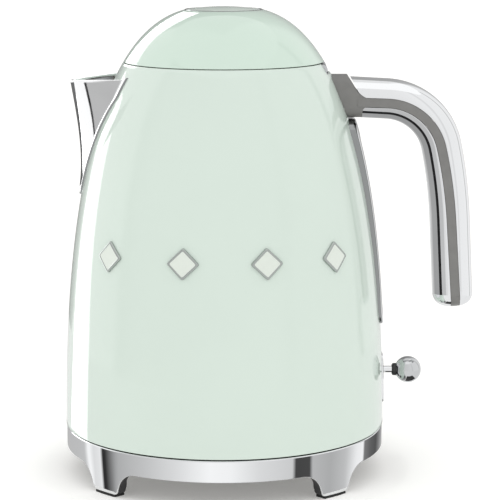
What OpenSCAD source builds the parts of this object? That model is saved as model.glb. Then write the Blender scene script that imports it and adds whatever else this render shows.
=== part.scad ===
// Cordless electric kettle: a bell-shaped enamelled body on a round power base.
// Millimetres, +Z up. The origin is on the table, on the axis that the kettle swivels about.
// The spout points to -X, the handle and the power lever to +X.

/* [Body] */
// Largest radius of the bell, near its foot
body_r = 85.44; // [84.5:0.1:86.5]
// Thickness of the steel body and lid
wall = 1.2; // [0.8:0.1:1.6]
// Height of the body's lower edge above the table
body_z0 = 25.9; // [25.6:0.1:26.4]
// Height of the seam between body and lid
lid_z = 219.4; // [218.9:0.1:219.9]
// Height of the vessel's floor
floor_z = 66; // [65:0.5:67]

/* [Power base] */
// Outer radius of the chrome skirt
skirt_r = 85; // [84:0.1:85.4]
// Height of the skirt's lower edge between the feet
skirt_z0 = 13.7; // [13.5:0.1:14.5]
// Angle from the X axis to the middle of a foot
foot_angle = 44.7; // [40:0.1:48]
// Turn of the base under the kettle, about the swivel axis
base_turn = -1.6; // [-10:0.1:10]

/* [Handle] */
// Thickness of the grip in the plane of its bend
grip_depth = 21.2; // [20:0.1:22]
// Width of the grip
grip_width = 24; // [22:0.5:26]
// Thickness of each metal half shell
grip_wall = 1.6; // [1.2:0.1:2]

/* [Lever] */
// Height of the power lever
lever_z = 53.3; // [52.5:0.1:54]
// Radius of the lever's ball
ball_r = 7.1; // [6:0.1:7.6]

/* [Lid] */
// Radius of the push button
button_r = 19.3; // [18:0.1:19.5]
// Travel of the push button
button_travel = 3; // [2:0.5:3]

/* [Hidden] */
$fn = 96;

// Colours
mint = "#d8e5dd";
chrome = "#c9cccd";
steel = "#b5b8b9";
grey = "#7e7e7b";
dark = "#2c2d2e";
brass = "#b5974a";
silicone = "#d9d6cf";

// The bell's outer radius at height z, a superellipse that closes at bell_top
bell_z0 = 13.85;
bell_top = 248.6;
bell_p = 2.33;
bell_q = 2.766;
function bell_r(z) = body_r * pow(1 - pow((z - bell_z0) / (bell_top - bell_z0), bell_p), 1 / bell_q);

// A band of the bell from z0 to z1, between two offsets from its outer radius
module bell_band(z0, z1, inner, outer, steps = 12, start = 0, turn = 360) {
    heights = [for (i = [0:steps]) z0 + (z1 - z0) * i / steps];
    rim = [for (z = heights) [bell_r(z) + outer, z]];
    back = [for (i = [steps:-1:0]) [bell_r(heights[i]) + inner, heights[i]]];
    rotate([0, 0, start])
        rotate_extrude(angle = turn)
            polygon(concat(rim, back));
}

// A flat ring
module ring(r_out, r_in, z0, z1) {
    translate([0, 0, z0])
        difference() {
            cylinder(r = r_out, h = z1 - z0);
            translate([0, 0, -1])
                cylinder(r = r_in, h = z1 - z0 + 2);
        }
}

// A prism along X from x0 to x1, whose outline is drawn as (y, z)
module along_x(x0, x1) {
    translate([x0, 0, 0])
        rotate([90, 0, 90])
            linear_extrude(x1 - x0)
                children();
}

// A cylinder along Y, centred on y = 0, through (x, z)
module pin_y(x, z, r, length) {
    translate([x, length / 2, z])
        rotate([90, 0, 0])
            cylinder(r = r, h = length);
}

// A box from one corner to the opposite one
module block(low, high) {
    translate(low)
        cube(high - low);
}

// A rounded upright rectangle drawn as (y, z)
module rounded(half_w, z0, z1, r) {
    for (s = [-1, 1])
        for (z = [z0 + r, z1 - r])
            translate([s * (half_w - r), z])
                circle(r);
    translate([-half_w, z0 + r])
        square([2 * half_w, z1 - z0 - 2 * r]);
    translate([-half_w + r, z0])
        square([2 * half_w - 2 * r, z1 - z0]);
}

// Side faces of a swept solid made of rings of n points each
function sweep_sides(rings, n) =
    [for (i = [0:rings - 2]) for (j = [0:n - 1])
        let (a = i * n + j, b = i * n + (j + 1) % n)
        each [[a, a + n, b + n], [a, b + n, b]]];

// A coil spring along Z, swept as a thin tube
module coil(r, wire, turns, height, steps = 14, sides = 6) {
    count = turns * steps;
    points = [for (i = [0:count]) for (j = [0:sides - 1])
        let (a = 360 * i / steps, b = -360 * j / sides, q = r + wire * cos(b))
        [q * cos(a), q * sin(a), wire + (height - 2 * wire) * i / count + wire * sin(b)]];
    ends = [[for (j = [0:sides - 1]) j], [for (j = [sides - 1:-1:0]) count * sides + j]];
    polyhedron(points, concat(ends, sweep_sides(count + 1, sides)), convexity = 8);
}

// ---- Power base ----

foot_r0 = 79.8;
foot_r1 = 84.4;
foot_back_r = 77.4;
foot_z0 = 1.2;
foot_half = 10;
foot_fillet = 12;
foot_chamfer = 2.2;
skirt_z1 = 25.3;
deck_z = 20;
cover_z = 13.6;
base_screw_r = 66;

// Puts its children at each foot, drawn for a foot on the +X axis
module at_feet() {
    for (a = [foot_angle, 180 - foot_angle, 180 + foot_angle, -foot_angle])
        rotate([0, 0, a + base_turn])
            children();
}

module base_ring() {
    color(chrome) {
        rotate_extrude()
            polygon([
                [81.8, skirt_z0], [skirt_r - 0.5, skirt_z0], [skirt_r, skirt_z0 + 0.6],
                [skirt_r, skirt_z1 - 1], [skirt_r - 0.3, skirt_z1 - 0.3], [skirt_r - 1, skirt_z1],
                [82.4, skirt_z1], [81.8, skirt_z1 - 0.6]
            ]);
        at_feet() {
            difference() {
                intersection() {
                    union() {
                        ring(foot_r1, foot_r0, foot_z0, skirt_z0 + 1);
                        ring(foot_r0 + 0.1, foot_back_r, foot_z0, skirt_z0 - 0.4);
                    }
                    along_x(60, 90)
                        polygon([
                            [-foot_half - foot_fillet, 20],
                            [-foot_half - foot_fillet, foot_z0 + foot_chamfer],
                            [-foot_half, foot_z0 + foot_chamfer], [-foot_half + foot_chamfer, foot_z0],
                            [foot_half - foot_chamfer, foot_z0], [foot_half, foot_z0 + foot_chamfer],
                            [foot_half + foot_fillet, foot_z0 + foot_chamfer],
                            [foot_half + foot_fillet, 20]
                        ]);
                }
                for (s = [-1, 1])
                    translate([60, s * (foot_half + foot_fillet), foot_z0])
                        rotate([0, 90, 0])
                            cylinder(r = foot_fillet, h = 30);
            }
        }
    }
}

module foot_pads() {
    color(dark)
        at_feet()
            intersection() {
                ring(foot_r1 - 0.3, foot_back_r + 0.3, 0, foot_z0);
                block([60, foot_chamfer + 0.2 - foot_half, -1], [90, foot_half - foot_chamfer - 0.2, 5]);
            }
}

module base_deck() {
    color(dark)
        difference() {
            union() {
                ring(81.6, 15.3, deck_z, deck_z + 2);
                ring(78, 76, deck_z + 1.9, deck_z + 3.4);
                ring(24, 22.4, deck_z + 1.9, deck_z + 3);
                for (i = [0:3])
                    rotate([0, 0, 45 + 90 * i])
                        translate([base_screw_r, 0, cover_z + 2.2])
                            ring(4, 1.4, 0, deck_z - cover_z - 2);
            }
            translate([60, 0, deck_z - 1])
                cylinder(r = 2.2, h = 5);
        }
}

// Underside plate with the spool that the cord winds round
module base_cover() {
    color(dark)
        difference() {
            union() {
                ring(79.4, 10, cover_z, cover_z + 2);
                ring(44, 41.5, 7.9, cover_z + 0.1);
                ring(52, 41.5, 6.4, 8);
            }
            for (i = [0:3])
                rotate([0, 0, 45 + 90 * i])
                    translate([base_screw_r, 0, 0])
                        cylinder(r = 1.8, h = 30);
            block([-5, 38, 5], [5, 60, cover_z - 0.2]);
        }
}

// Outlet for the mains cord, under the +Y edge of the base
gland_r = 3.6;
gland_z = 8.8;
module cord_gland() {
    color(dark)
        difference() {
            block([-7, 62, gland_z - 5], [7, 74, cover_z - 0.1]);
            translate([0, 61, gland_z])
                rotate([-90, 0, 0])
                    cylinder(r = gland_r, h = 14);
        }
}

module base_screws() {
    color(steel)
        for (i = [0:3])
            rotate([0, 0, 45 + 90 * i])
                translate([base_screw_r, 0, 0]) {
                    translate([0, 0, cover_z - 1.6])
                        cylinder(r = 2.8, h = 1.5);
                    translate([0, 0, cover_z - 0.2])
                        cylinder(r = 1.3, h = 6);
                }
}

core_r = 12.4;
core_clearance = 0.06;
pillar_r = 15;
pillar_z1 = 31;

module connector_pillar() {
    color(dark) {
        ring(pillar_r, core_r + core_clearance, cover_z + 2.1, pillar_z1);
        translate([0, 0, cover_z + 2.1])
            cylinder(r = 13, h = 1.5);
    }
}

// Insulator that sits in the pillar, with a centre hole and a ring groove for the contacts
core_z0 = cover_z + 4;
module connector_core() {
    color("#3c3d3f")
        translate([0, 0, core_z0])
            difference() {
                cylinder(r = core_r, h = pillar_z1 - 0.6 - core_z0);
                translate([0, 0, 3])
                    cylinder(r = 3, h = 20);
                ring(8.6, 6, 3, 20);
            }
}

module core_contacts() {
    color(brass) {
        ring(2.95, 2.45, core_z0 + 3.1, pillar_z1 - 2.5);
        ring(8.55, 8.15, core_z0 + 3.1, pillar_z1 - 2.5);
    }
}

// ---- Kettle, lower compartment ----

body_base_r = 83.7;
bottom_screw_r = 40;

module body_base() {
    color(dark)
        difference() {
            union() {
                ring(body_base_r, 17, body_z0 + 0.4, body_z0 + 2.6);
                ring(body_base_r, 81.7, body_z0 + 2.5, 36);
                for (i = [0:2])
                    rotate([0, 0, 60 + 120 * i])
                        translate([bottom_screw_r, 0, 0])
                            ring(3.5, 1.3, body_z0 + 2.5, 38);
            }
            for (i = [0:2])
                rotate([0, 0, 60 + 120 * i])
                    translate([bottom_screw_r, 0, body_z0])
                        cylinder(r = 1.6, h = 2.7);
        }
}

module body_base_screws() {
    color(steel)
        for (i = [0:2])
            rotate([0, 0, 60 + 120 * i])
                translate([bottom_screw_r, 0, 0]) {
                    translate([0, 0, body_z0 - 0.2])
                        cylinder(r = 2.6, h = 0.55);
                    translate([0, 0, body_z0 + 0.3])
                        cylinder(r = 1.25, h = 10);
                }
}

// Round socket that drops over the pillar
module connector_socket() {
    color("#4a4b4d")
        union() {
            ring(21, 15.8, body_z0 + 2.7, 40);
            ring(16.9, 15.6, body_z0 + 0.4, body_z0 + 3);
            translate([0, 0, 33])
                cylinder(r = 18, h = 7);
        }
}

module socket_contacts() {
    color(brass) {
        translate([0, 0, 22.5])
            cylinder(r = 1.35, h = 10.4);
        ring(7.6, 7, 23.5, 32.9);
    }
}

module thermostat_control() {
    color("#d8d8d2") {
        translate([0, 0, 40.1])
            cylinder(r = 20, h = 12);
        block([-24, -9, 42], [-15, 9, 50]);
        ring(12, 9.5, 52, 55.5);
    }
}

module bimetal_discs() {
    color(steel)
        for (s = [-1, 1])
            translate([s * 10, 0, 0])
                translate([0, s * 10, 56.2])
                    cylinder(r = 6.5, h = 0.5);
}

element_r = 46;
element_z = 59.2;
element_tube = 3.4;
module heating_element() {
    color("#8f8b84") {
        rotate([0, 0, 25])
            rotate_extrude(angle = 310)
                translate([element_r, element_z])
                    circle(element_tube);
        for (s = [-1, 1])
            rotate([0, 0, s * 25])
                translate([element_r, 0, 44])
                    cylinder(r = element_tube, h = element_z - 44);
    }
}

module heat_diffuser() {
    color("#bfc1c2")
        ring(60, 14, floor_z - 3.3, floor_z - 0.1);
}

tube_foot = [74, 18, 56];
tube_top = [48, 18, 203];
tube_vec = tube_top - tube_foot;
tube_len = norm(tube_vec);
tube_tilt = atan2(tube_vec[0], tube_vec[2]);
tube_r = 4;

// Draws its children along the leaning steam tube, whose foot is at local z = 0
module on_tube() {
    translate(tube_foot)
        rotate([0, tube_tilt, 0])
            children();
}

module floor_plate() {
    color(steel)
        difference() {
            union() {
                translate([0, 0, floor_z])
                    cylinder(r = 82.2, h = 1.2);
                ring(82.2, 81.2, floor_z - 6, floor_z + 0.1);
            }
            on_tube()
                translate([0, 0, -5])
                    cylinder(r = tube_r + 1.6, h = 30);
        }
}

module floor_seal() {
    color(silicone)
        ring(82.95, 82.3, floor_z - 5, floor_z + 1.4);
}

module steam_tube() {
    color(steel)
        difference() {
            on_tube()
                cylinder(r = tube_r, h = tube_len);
            on_tube()
                translate([0, 0, -1])
                    cylinder(r = tube_r - 0.7, h = tube_len + 2);
        }
}

module steam_tube_grommet() {
    color(silicone)
        difference() {
            on_tube()
                translate([0, 0, 8])
                    cylinder(r = tube_r + 1.5, h = 6);
            on_tube()
                translate([0, 0, 7])
                    cylinder(r = tube_r + 0.02, h = 8);
        }
}

// ---- Power lever and switch ----

lever_x = 66;
tail_x = 57;
rocker_x = 48;
pin_r = 1.2;
pin_clearance = 0.05;

module switch_frame() {
    color("#5a5b5d")
        difference() {
            union() {
                block([40, -6, body_z0 + 2.7], [56, 6, body_z0 + 5]);
                for (s = [-1, 1])
                    block([41, s * 4.8 - 1, body_z0 + 4.9], [54, s * 4.8 + 1, lever_z + 2.2]);
            }
            pin_y(rocker_x, lever_z, pin_r, 20);
        }
}

// Rocker with a fork that takes the roller on the lever's tail
module switch_rocker() {
    color("#c8c4b8")
        difference() {
            union() {
                pin_y(rocker_x, lever_z, 2.4, 6.6);
                block([rocker_x, -2.5, lever_z - 1.2], [54, 2.5, lever_z + 1.2]);
                block([52.8, -2.5, lever_z - 3.5], [54.4, 2.5, lever_z + 3.5]);
                for (s = [-1, 1])
                    block([54.3, -2.5, lever_z + s * 2.9 - 0.6], [57.4, 2.5, lever_z + s * 2.9 + 0.6]);
                block([41, -2.5, lever_z - 1.1], [rocker_x, 2.5, lever_z + 1.1]);
            }
            pin_y(rocker_x, lever_z, pin_r + pin_clearance, 20);
        }
}

module rocker_pin() {
    color(steel)
        pin_y(rocker_x, lever_z, pin_r, 13);
}

// Over-centre spring under the rocker's back arm
module switch_spring() {
    color(steel)
        translate([42.2, 0, body_z0 + 5.2])
            coil(1.7, 0.35, 7, lever_z - 1.4 - body_z0 - 5.2);
}

module lever_bracket() {
    color("#5a5b5d")
        difference() {
            union() {
                block([60, -8, body_z0 + 2.7], [74, 8, body_z0 + 5]);
                for (s = [-1, 1])
                    block([61.5, s * 5.6 - 1.2, body_z0 + 4.9], [70.5, s * 5.6 + 1.2, lever_z + 4]);
            }
            pin_y(lever_x, lever_z, pin_r, 30);
        }
}

module lever_pin() {
    color(steel)
        pin_y(lever_x, lever_z, pin_r, 15);
}

ball_x = 98.9;
stem_r = 1.85;
module power_lever() {
    color(chrome)
        difference() {
            union() {
                translate([lever_x, 0, lever_z])
                    rotate([0, 90, 0])
                        cylinder(r = stem_r, h = 93 - lever_x);
                pin_y(lever_x, lever_z, 3.2, 7.6);
                block([tail_x, -1.5, lever_z - 0.9], [lever_x - 2, 1.5, lever_z + 0.9]);
                pin_y(tail_x, lever_z, 1.6, 4.6);
            }
            pin_y(lever_x, lever_z, pin_r + pin_clearance, 20);
        }
}

module lever_collar() {
    color(dark)
        translate([90.2, 0, lever_z])
            rotate([0, 90, 0])
                difference() {
                    cylinder(r1 = 2.5, r2 = 3.4, h = 2.4);
                    translate([0, 0, -1])
                        cylinder(r = stem_r + 0.02, h = 5);
                }
}

// The ball is cut flat against the collar and bored for the end of the stem
ball_flat = 92.7 - ball_x;
ball_steps = 24;
module lever_ball() {
    bore_r = stem_r + 0.02;
    flat_a = acos(ball_flat / ball_r);
    color(chrome)
        translate([ball_x, 0, lever_z])
            rotate([0, 90, 0])
                rotate_extrude()
                    polygon(concat(
                        [[0, ball_flat + 0.4], [bore_r, ball_flat + 0.4], [bore_r, ball_flat]],
                        [for (i = [0:ball_steps])
                            let (a = flat_a * (1 - i / ball_steps))
                            ball_r * [sin(a), cos(a)]]
                    ));
}

bezel_z0 = 36.1;
bezel_z1 = 62.2;
module slot_bezel() {
    color(chrome)
        difference() {
            intersection() {
                bell_band(bezel_z0 - 1, bezel_z1 + 1, 0.05, 0.8, 4, -12, 24);
                along_x(70, 95)
                    rounded(5.4, bezel_z0, bezel_z1, 2.4);
            }
            along_x(70, 95)
                rounded(2.6, 42.6, 57, 1.2);
        }
}

// ---- Body and spout ----

// Half-width of the spout's V at height z, narrowing to a rounded tail
spout_z0 = 152;
spout_z1 = 212;
spout_wide_z = 203;
spout_half = 25.2;
tail_r = 6.7;
function spout_v(z) =
    6 + (spout_half - 6) * pow(min(1, (z - spout_z0) / (spout_wide_z - spout_z0)), 1.3);
function spout_w(z) = z < spout_z0 + tail_r
    ? sqrt(max(0.3, tail_r * tail_r - pow(spout_z0 + tail_r - z, 2)))
    : spout_v(z);

// The V as an outline in (y, z), grown by a margin
module spout_outline(margin, top) {
    steps = 6;
    low = spout_z0 + tail_r;
    heights = concat([for (i = [0:steps]) low + (spout_wide_z - low) * i / steps], [top]);
    polygon(concat(
        [for (z = heights) [spout_v(z) + margin, z]],
        [for (i = [steps + 1:-1:0]) [-spout_v(heights[i]) - margin, heights[i]]]
    ));
    translate([0, low])
        circle(tail_r + margin);
}

gauge_half = 15.4;
gauge_z0 = 80;
gauge_z1 = 189.5;
window_half = 7;
window_z0 = 90;
window_z1 = 179;
hinge_x = 51.6;
hinge_z = 216.2;
notch_half = 15.5;
handle_screw_z = [196.5, 206];

module body_shell() {
    color(mint)
        difference() {
            bell_band(body_z0, lid_z - 0.2, -wall, 0, 28);
            along_x(-95, -40)
                spout_outline(-1.2, 208.6);
            along_x(50, 100)
                rounded(window_half + 1.2, window_z0 - 1.2, window_z1 + 1.2, 5);
            along_x(70, 100)
                rounded(3.4, 41, 58.6, 1.5);
            for (z = handle_screw_z)
                translate([40, 0, z])
                    rotate([0, 90, 0])
                        cylinder(r = 2.3, h = 50);
            block([40, -notch_half, 213.6], [70, notch_half, 225]);
        }
}

// Ring inside the neck with the lid's seat, the latch notch and the hinge knuckles
module neck_collar() {
    color(steel)
        difference() {
            union() {
                rotate_extrude()
                    polygon([
                        [47, 211.6], [bell_r(211.6) - wall - 0.2, 211.6],
                        [bell_r(215.3) - wall - 0.2, 215.3], [bell_r(218.9) - wall - 0.2, 218.9],
                        [48.6, 218.9], [48.6, 215.4], [47, 214.6]
                    ]);
                for (s = [-1, 1]) {
                    block([49, s * 12 - 2.4, 213], [53.2, s * 12 + 2.4, hinge_z]);
                    translate([hinge_x, s * 12 + 2.4, hinge_z])
                        rotate([90, 0, 0])
                            cylinder(r = 2.6, h = 4.8);
                }
            }
            block([44, -9.5, hinge_z - 3], [60, 9.5, 230]);
            block([-50, -5.4, latch_z0 - 1], [-44, 5.4, 230]);
            pin_y(hinge_x, hinge_z, pin_r, 40);
        }
}

spout_tip_z = 209.6;
spout_rise = 2.4;

// How far the keel stands out from the bell at height z
function keel_out(z) = 1.3 + 21.3 * pow(max(0, (z - spout_z0) / (spout_tip_z - spout_z0)), 1.75);

// Section of the beak from edge (-1) over the keel (0) to the other edge (1)
keel_round = 0.012;
function beak_shape(s) =
    (sqrt(1 + keel_round) - sqrt(s * s + keel_round)) / (sqrt(1 + keel_round) - sqrt(keel_round));

// A point of the beak: t runs from its tail to its rim, s across it, inset is the depth of metal
function beak_point(t, s, inset) =
    let (rim = spout_tip_z + spout_rise * abs(s),
        z = spout_z0 + 1 + (rim - spout_z0 - 1) * t,
        y = spout_w(z) * s,
        out = keel_out(z) * beak_shape(s),
        metal = inset * min(1.5, 0.35 + 0.6 * out))
    [-sqrt(pow(bell_r(z), 2) - y * y) - 0.45 - out + metal, y, z];

module spout_beak() {
    levels = 12;
    across = 16;
    outer = [for (j = [0:across]) j];
    points = [for (i = [0:levels]) each concat(
        [for (j = outer) beak_point(i / levels, 2 * j / across - 1, 0)],
        [for (j = [across:-1:0]) beak_point(i / levels, 2 * j / across - 1, 1)]
    )];
    n = 2 * (across + 1);
    ends = [for (k = [0, levels]) for (j = [0:across - 1])
        let (a = k * n + j, b = k * n + n - 1 - j)
        k == 0 ? [a, a + 1, b - 1, b] : [b, b - 1, a + 1, a]];
    sides = [for (i = [0:levels - 1]) for (j = [0:n - 1])
        let (a = i * n + j, b = i * n + (j + 1) % n)
        [a, a + n, b + n, b]];
    color(steel)
        polyhedron(points, concat(ends, sides), convexity = 6);
}

module spout_flange() {
    color(steel)
        difference() {
            intersection() {
                bell_band(spout_z0 - 8, spout_z1 + 1.6, 0.05, 1.1, 10, 144, 72);
                along_x(-95, -40)
                    spout_outline(3, spout_z1 + 1.2);
            }
            along_x(-95, -40)
                spout_outline(0.35, spout_z1 + 3);
        }
}

// Removable filter behind the spout, a flat frame that leans with the wall
filter_tilt = 15;
filter_top = [-50, 0, 207.5];
filter_h = 48;
filter_wide = 19;
filter_narrow = 8;

// Draws its children in the filter's plane: x across, y up from its lower edge
module in_filter(depth, lift = 0) {
    translate(filter_top)
        rotate([0, filter_tilt, 0])
            translate([lift, 0, -filter_h])
                rotate([90, 0, 90])
                    linear_extrude(depth)
                        children();
}

module filter_outline(margin) {
    polygon([
        [-filter_narrow + margin, margin], [filter_narrow - margin, margin],
        [filter_wide - margin, filter_h - margin], [-filter_wide + margin, filter_h - margin]
    ]);
}

module filter_frame() {
    color("#e8e6e0")
        in_filter(2.4)
            difference() {
                filter_outline(0);
                filter_outline(2.4);
            }
}

module filter_mesh() {
    color(steel)
        in_filter(0.5, 0.9)
            difference() {
                filter_outline(2.5);
                for (row = [0:6])
                    let (z = 6 + 6 * row, half = floor((3.4 + 0.24 * z) / 4.4))
                    for (i = [-half:half])
                        translate([4.4 * i, z])
                            circle(1.3);
            }
}

// Two clips between the wall and the filter's upper corners
module filter_clips() {
    color(steel)
        for (s = [-1, 1])
            intersection() {
                bell_band(192, 202, -10, -wall - 0.05, 3, 145, 70);
                block([-70, s * 20.8 - 3.6, 195], [-40, s * 20.8 + 3.6, 199]);
            }
}

// ---- Water gauge ----

// How far the gauge's frame stands out, most at its top
function gauge_out(z) = 1.5 + 2.1 * pow((z - gauge_z0) / (gauge_z1 - gauge_z0), 1.2);

// A band on the bell that stands out as the gauge does
module gauge_band(inner, extra) {
    steps = 10;
    heights = [for (i = [0:steps]) gauge_z0 + (gauge_z1 - gauge_z0) * i / steps];
    rotate([0, 0, -22])
        rotate_extrude(angle = 44)
            polygon(concat(
                [for (z = heights) [bell_r(z) + gauge_out(z) + extra, z]],
                [for (i = [steps:-1:0]) [bell_r(heights[i]) + inner, heights[i]]]
            ));
}

module gauge_frame() {
    color(chrome)
        difference() {
            intersection() {
                gauge_band(0.05, 0);
                along_x(50, 100)
                    rounded(gauge_half, gauge_z0, gauge_z1, 9);
            }
            along_x(50, 100)
                rounded(window_half + 0.8, window_z0 - 0.8, window_z1 + 0.8, 5);
        }
}

module gauge_window() {
    color("#dfe6e4")
        intersection() {
            gauge_band(-wall - 0.8, -0.5);
            along_x(50, 100)
                rounded(window_half, window_z0, window_z1, 4.5);
        }
}

module gauge_gasket() {
    color(silicone)
        difference() {
            intersection() {
                bell_band(gauge_z0, gauge_z1, -wall - 1.6, -wall - 0.1, 10, -22, 44);
                along_x(50, 100)
                    rounded(window_half + 3.4, window_z0 - 3.4, window_z1 + 3.4, 6);
            }
            along_x(50, 100)
                rounded(window_half + 0.1, window_z0 - 0.1, window_z1 + 0.1, 4.5);
        }
}

// ---- Handle ----

// The grip's centre line: straight out, a tight bend down, a slow bend, then straight
grip_start = [72.6, 200.55];
grip_h0 = -3;
grip_run = 13.5;
grip_shear = -0.62;
bend_r = 31.4;
bend_turn = 75.1;
slow_r = 250;
slow_turn = 9.1;
grip_end_z = 88.7;
tip_len = 6;

function heading(a) = [cos(a), sin(a)];
function outward(a) = [-sin(a), cos(a)];
function arc_point(from, a0, r, turn) = from - r * outward(a0) + r * outward(a0 - turn);

bend_start = grip_start + grip_run * heading(grip_h0);
slow_start = arc_point(bend_start, grip_h0, bend_r, bend_turn);
down_start = arc_point(slow_start, grip_h0 - bend_turn, slow_r, slow_turn);
down_h = grip_h0 - bend_turn - slow_turn;
down_len = (down_start[1] - grip_end_z) / -sin(down_h);

// Stations along the grip: [point, heading, share of the way, size at the station]
bend_steps = 12;
slow_steps = 3;
tip_steps = 5;
stations = concat(
    [[grip_start, grip_h0, 0, 1]],
    [for (i = [0:bend_steps])
        let (a = bend_turn * i / bend_steps)
        [arc_point(bend_start, grip_h0, bend_r, a), grip_h0 - a, 0.08 + 0.3 * i / bend_steps, 1]],
    [for (i = [1:slow_steps])
        let (a = slow_turn * i / slow_steps)
        [arc_point(slow_start, grip_h0 - bend_turn, slow_r, a), grip_h0 - bend_turn - a,
            0.38 + 0.28 * i / slow_steps, 1]],
    [for (i = [0:tip_steps])
        let (b = 90 * i / tip_steps, d = down_len - tip_len + tip_len * sin(b))
        [down_start + d * heading(down_h), down_h, 0.96 + 0.04 * i / tip_steps,
            0.45 + 0.55 * cos(b)]]
);

// The side strip sits below the middle of the grip at the top and above it at the end
function strip_shift(share) = -1.7 + 2.5 * share;
strip_half = 2.3;
grip_power = 2.4;

// A point of the grip's oval section at angle a, for half-depth d and half-width w
function oval(a, d, w) = [
    d * sign(sin(a)) * pow(abs(sin(a)), 2 / grip_power),
    w * sign(cos(a)) * pow(abs(cos(a)), 2 / grip_power)
];

// Places a section point [u, v] at a station: u outward in the plane of the bend, v along Y.
// A shear slants the cut at the first station.
function at_station(st, uv, shear = 0) =
    let (slant = st[2] == 0 ? shear * uv[0] : 0,
        p = st[0] + outward(st[1]) * uv[0] * st[3] + heading(st[1]) * slant)
    [p[0], uv[1] * st[3], p[1]];

// Angle at which the oval reaches height u
function oval_angle(u, d) = asin(pow(min(1, max(0, u / d)), grip_power / 2));

// Section of one half shell: side 1 is the outer one, side -1 the inner one
shell_steps = 11;
function shell_section(share, side) =
    let (d = grip_depth / 2, w = grip_width / 2,
        edge = side * strip_shift(share) + strip_half + 0.1,
        a0 = oval_angle(edge, d), a1 = oval_angle(edge, d - grip_wall))
    concat(
        [for (i = [0:shell_steps])
            let (q = oval(a0 + (180 - 2 * a0) * i / shell_steps, d, w))
            [side * max(q[0], edge), q[1]]],
        [for (i = [shell_steps:-1:0])
            let (q = oval(a1 + (180 - 2 * a1) * i / shell_steps, d - grip_wall, w - grip_wall))
            [side * max(q[0], edge), q[1]]]
    );

module half_shell(side) {
    n = 2 * (shell_steps + 1);
    points = [for (st = stations)
        let (section = shell_section(st[2], side))
        for (j = [0:n - 1])
            at_station(st, section[side > 0 ? j : n - 1 - j], side > 0 ? grip_shear : 0)];
    ends = [for (k = [0, len(stations) - 1]) for (j = [0:shell_steps - 1])
        let (a = k * n + j, b = k * n + n - 1 - j)
        k == 0 ? [a, a + 1, b - 1, b] : [b, b - 1, a + 1, a]];
    polyhedron(points, concat(ends, sweep_sides(len(stations), n)), convexity = 6);
}

module handle_outer_shell() {
    color(chrome)
        half_shell(1);
}

module handle_inner_shell() {
    color(chrome)
        half_shell(-1);
}

// Section of the core: an inner oval with a strip on each side out to the shells' surface
core_gap = 0.15;
function core_section(share) =
    let (d = grip_depth / 2 - grip_wall - core_gap, w = grip_width / 2 - grip_wall - core_gap,
        c = strip_shift(share), lo = c - strip_half, hi = c + strip_half, out = grip_width / 2 - 0.2,
        a_hi = oval_angle(abs(hi), d) * sign(hi), a_lo = oval_angle(abs(lo), d) * sign(lo))
    concat(
        [[lo, out], [hi, out]],
        [for (i = [0:6]) oval(a_hi + (180 - 2 * a_hi) * i / 6, d, w)],
        [[hi, -out], [lo, -out]],
        [for (i = [0:6]) oval(180 - a_lo + (180 + 2 * a_lo) * i / 6, d, w)]
    );

// The faces that fill the core's section, by point number
core_cap = [
    [0, 1, 2, 17], [2, 8, 11, 17], [8, 9, 10, 11],
    [2, 3, 7, 8], [3, 4, 6, 7], [4, 5, 6],
    [11, 12, 16, 17], [12, 13, 15, 16], [13, 14, 15]
];

module handle_core() {
    n = 18;
    last = (len(stations) - 1) * n;
    far_cap = [for (face = core_cap) [for (j = [len(face) - 1:-1:0]) last + face[j]]];
    points = [for (st = stations)
        let (section = core_section(st[2]))
        for (j = [0:n - 1]) at_station(st, section[j])];
    color(grey)
        polyhedron(points, concat(core_cap, far_cap, sweep_sides(len(stations), n)),
            convexity = 6);
}

// Block between the body and the grip
block_half = 11.6;
module handle_block() {
    color(grey)
        difference() {
            translate([0, block_half, 0])
                rotate([90, 0, 0])
                    linear_extrude(2 * block_half)
                        polygon([
                            [50, 212.5], [64.2, 212.5], [65.2, 212], [65.7, 211.1], [71.8, 201.3],
                            [72.4, 200.6], [72.1, 193.6], [71.7, 191.4], [70.6, 190.4], [60, 190.4]
                        ]);
            bell_band(180, 216, -20, 0.05, 12);
            for (z = handle_screw_z)
                translate([40, 0, z])
                    rotate([0, 90, 0])
                        cylinder(r = 1.9, h = 30);
        }
}

module handle_screws() {
    color(steel)
        for (z = handle_screw_z)
            let (x = bell_r(z) - wall)
            translate([0, 0, z])
                rotate([0, 90, 0]) {
                    translate([0, 0, x - 5.4])
                        cylinder(r = 3.4, h = 2);
                    translate([0, 0, x - 3.5])
                        cylinder(r = 1.85, h = 71 - x);
                }
}

module handle_seals() {
    color(silicone)
        for (z = handle_screw_z)
            let (x = bell_r(z) - wall)
            translate([0, 0, z])
                rotate([0, 90, 0])
                    difference() {
                        translate([0, 0, x - 3.35])
                            cylinder(r = 4.2, h = 1);
                        translate([0, 0, x - 4])
                            cylinder(r = 1.95, h = 4);
                    }
}

// Plain raised lozenges round both sides of the body
emblem_z = 124.6;
emblem_half_h = 8.2;
emblem_half_w = 8.6;
module body_emblems() {
    color("#e6ece6")
        for (side = [0, 180])
            for (a = [224, 255.7, 286.2, 315.2])
                intersection() {
                    bell_band(emblem_z - 10, emblem_z + 10, 0.05, 1.5, 4, a + side - 9, 18);
                    rotate([0, 0, a + side])
                        along_x(60, 100)
                            polygon([
                                [-emblem_half_w, emblem_z], [0, emblem_z - emblem_half_h],
                                [emblem_half_w, emblem_z], [0, emblem_z + emblem_half_h]
                            ]);
                }
}

// ---- Lid ----

dome_z0 = lid_z + 0.3;
button_hole_r = 20.5;
dome_z1 = 246.6;

// A point on the dome's inner face, a wall's thickness in along the normal at height z
function dome_slope(z) = (bell_r(z + 0.05) - bell_r(z - 0.05)) / 0.1;
function dome_inner(z) =
    let (n = [1, -dome_slope(z)] / norm([1, dome_slope(z)]))
    [bell_r(z), z] - wall * n;

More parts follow.
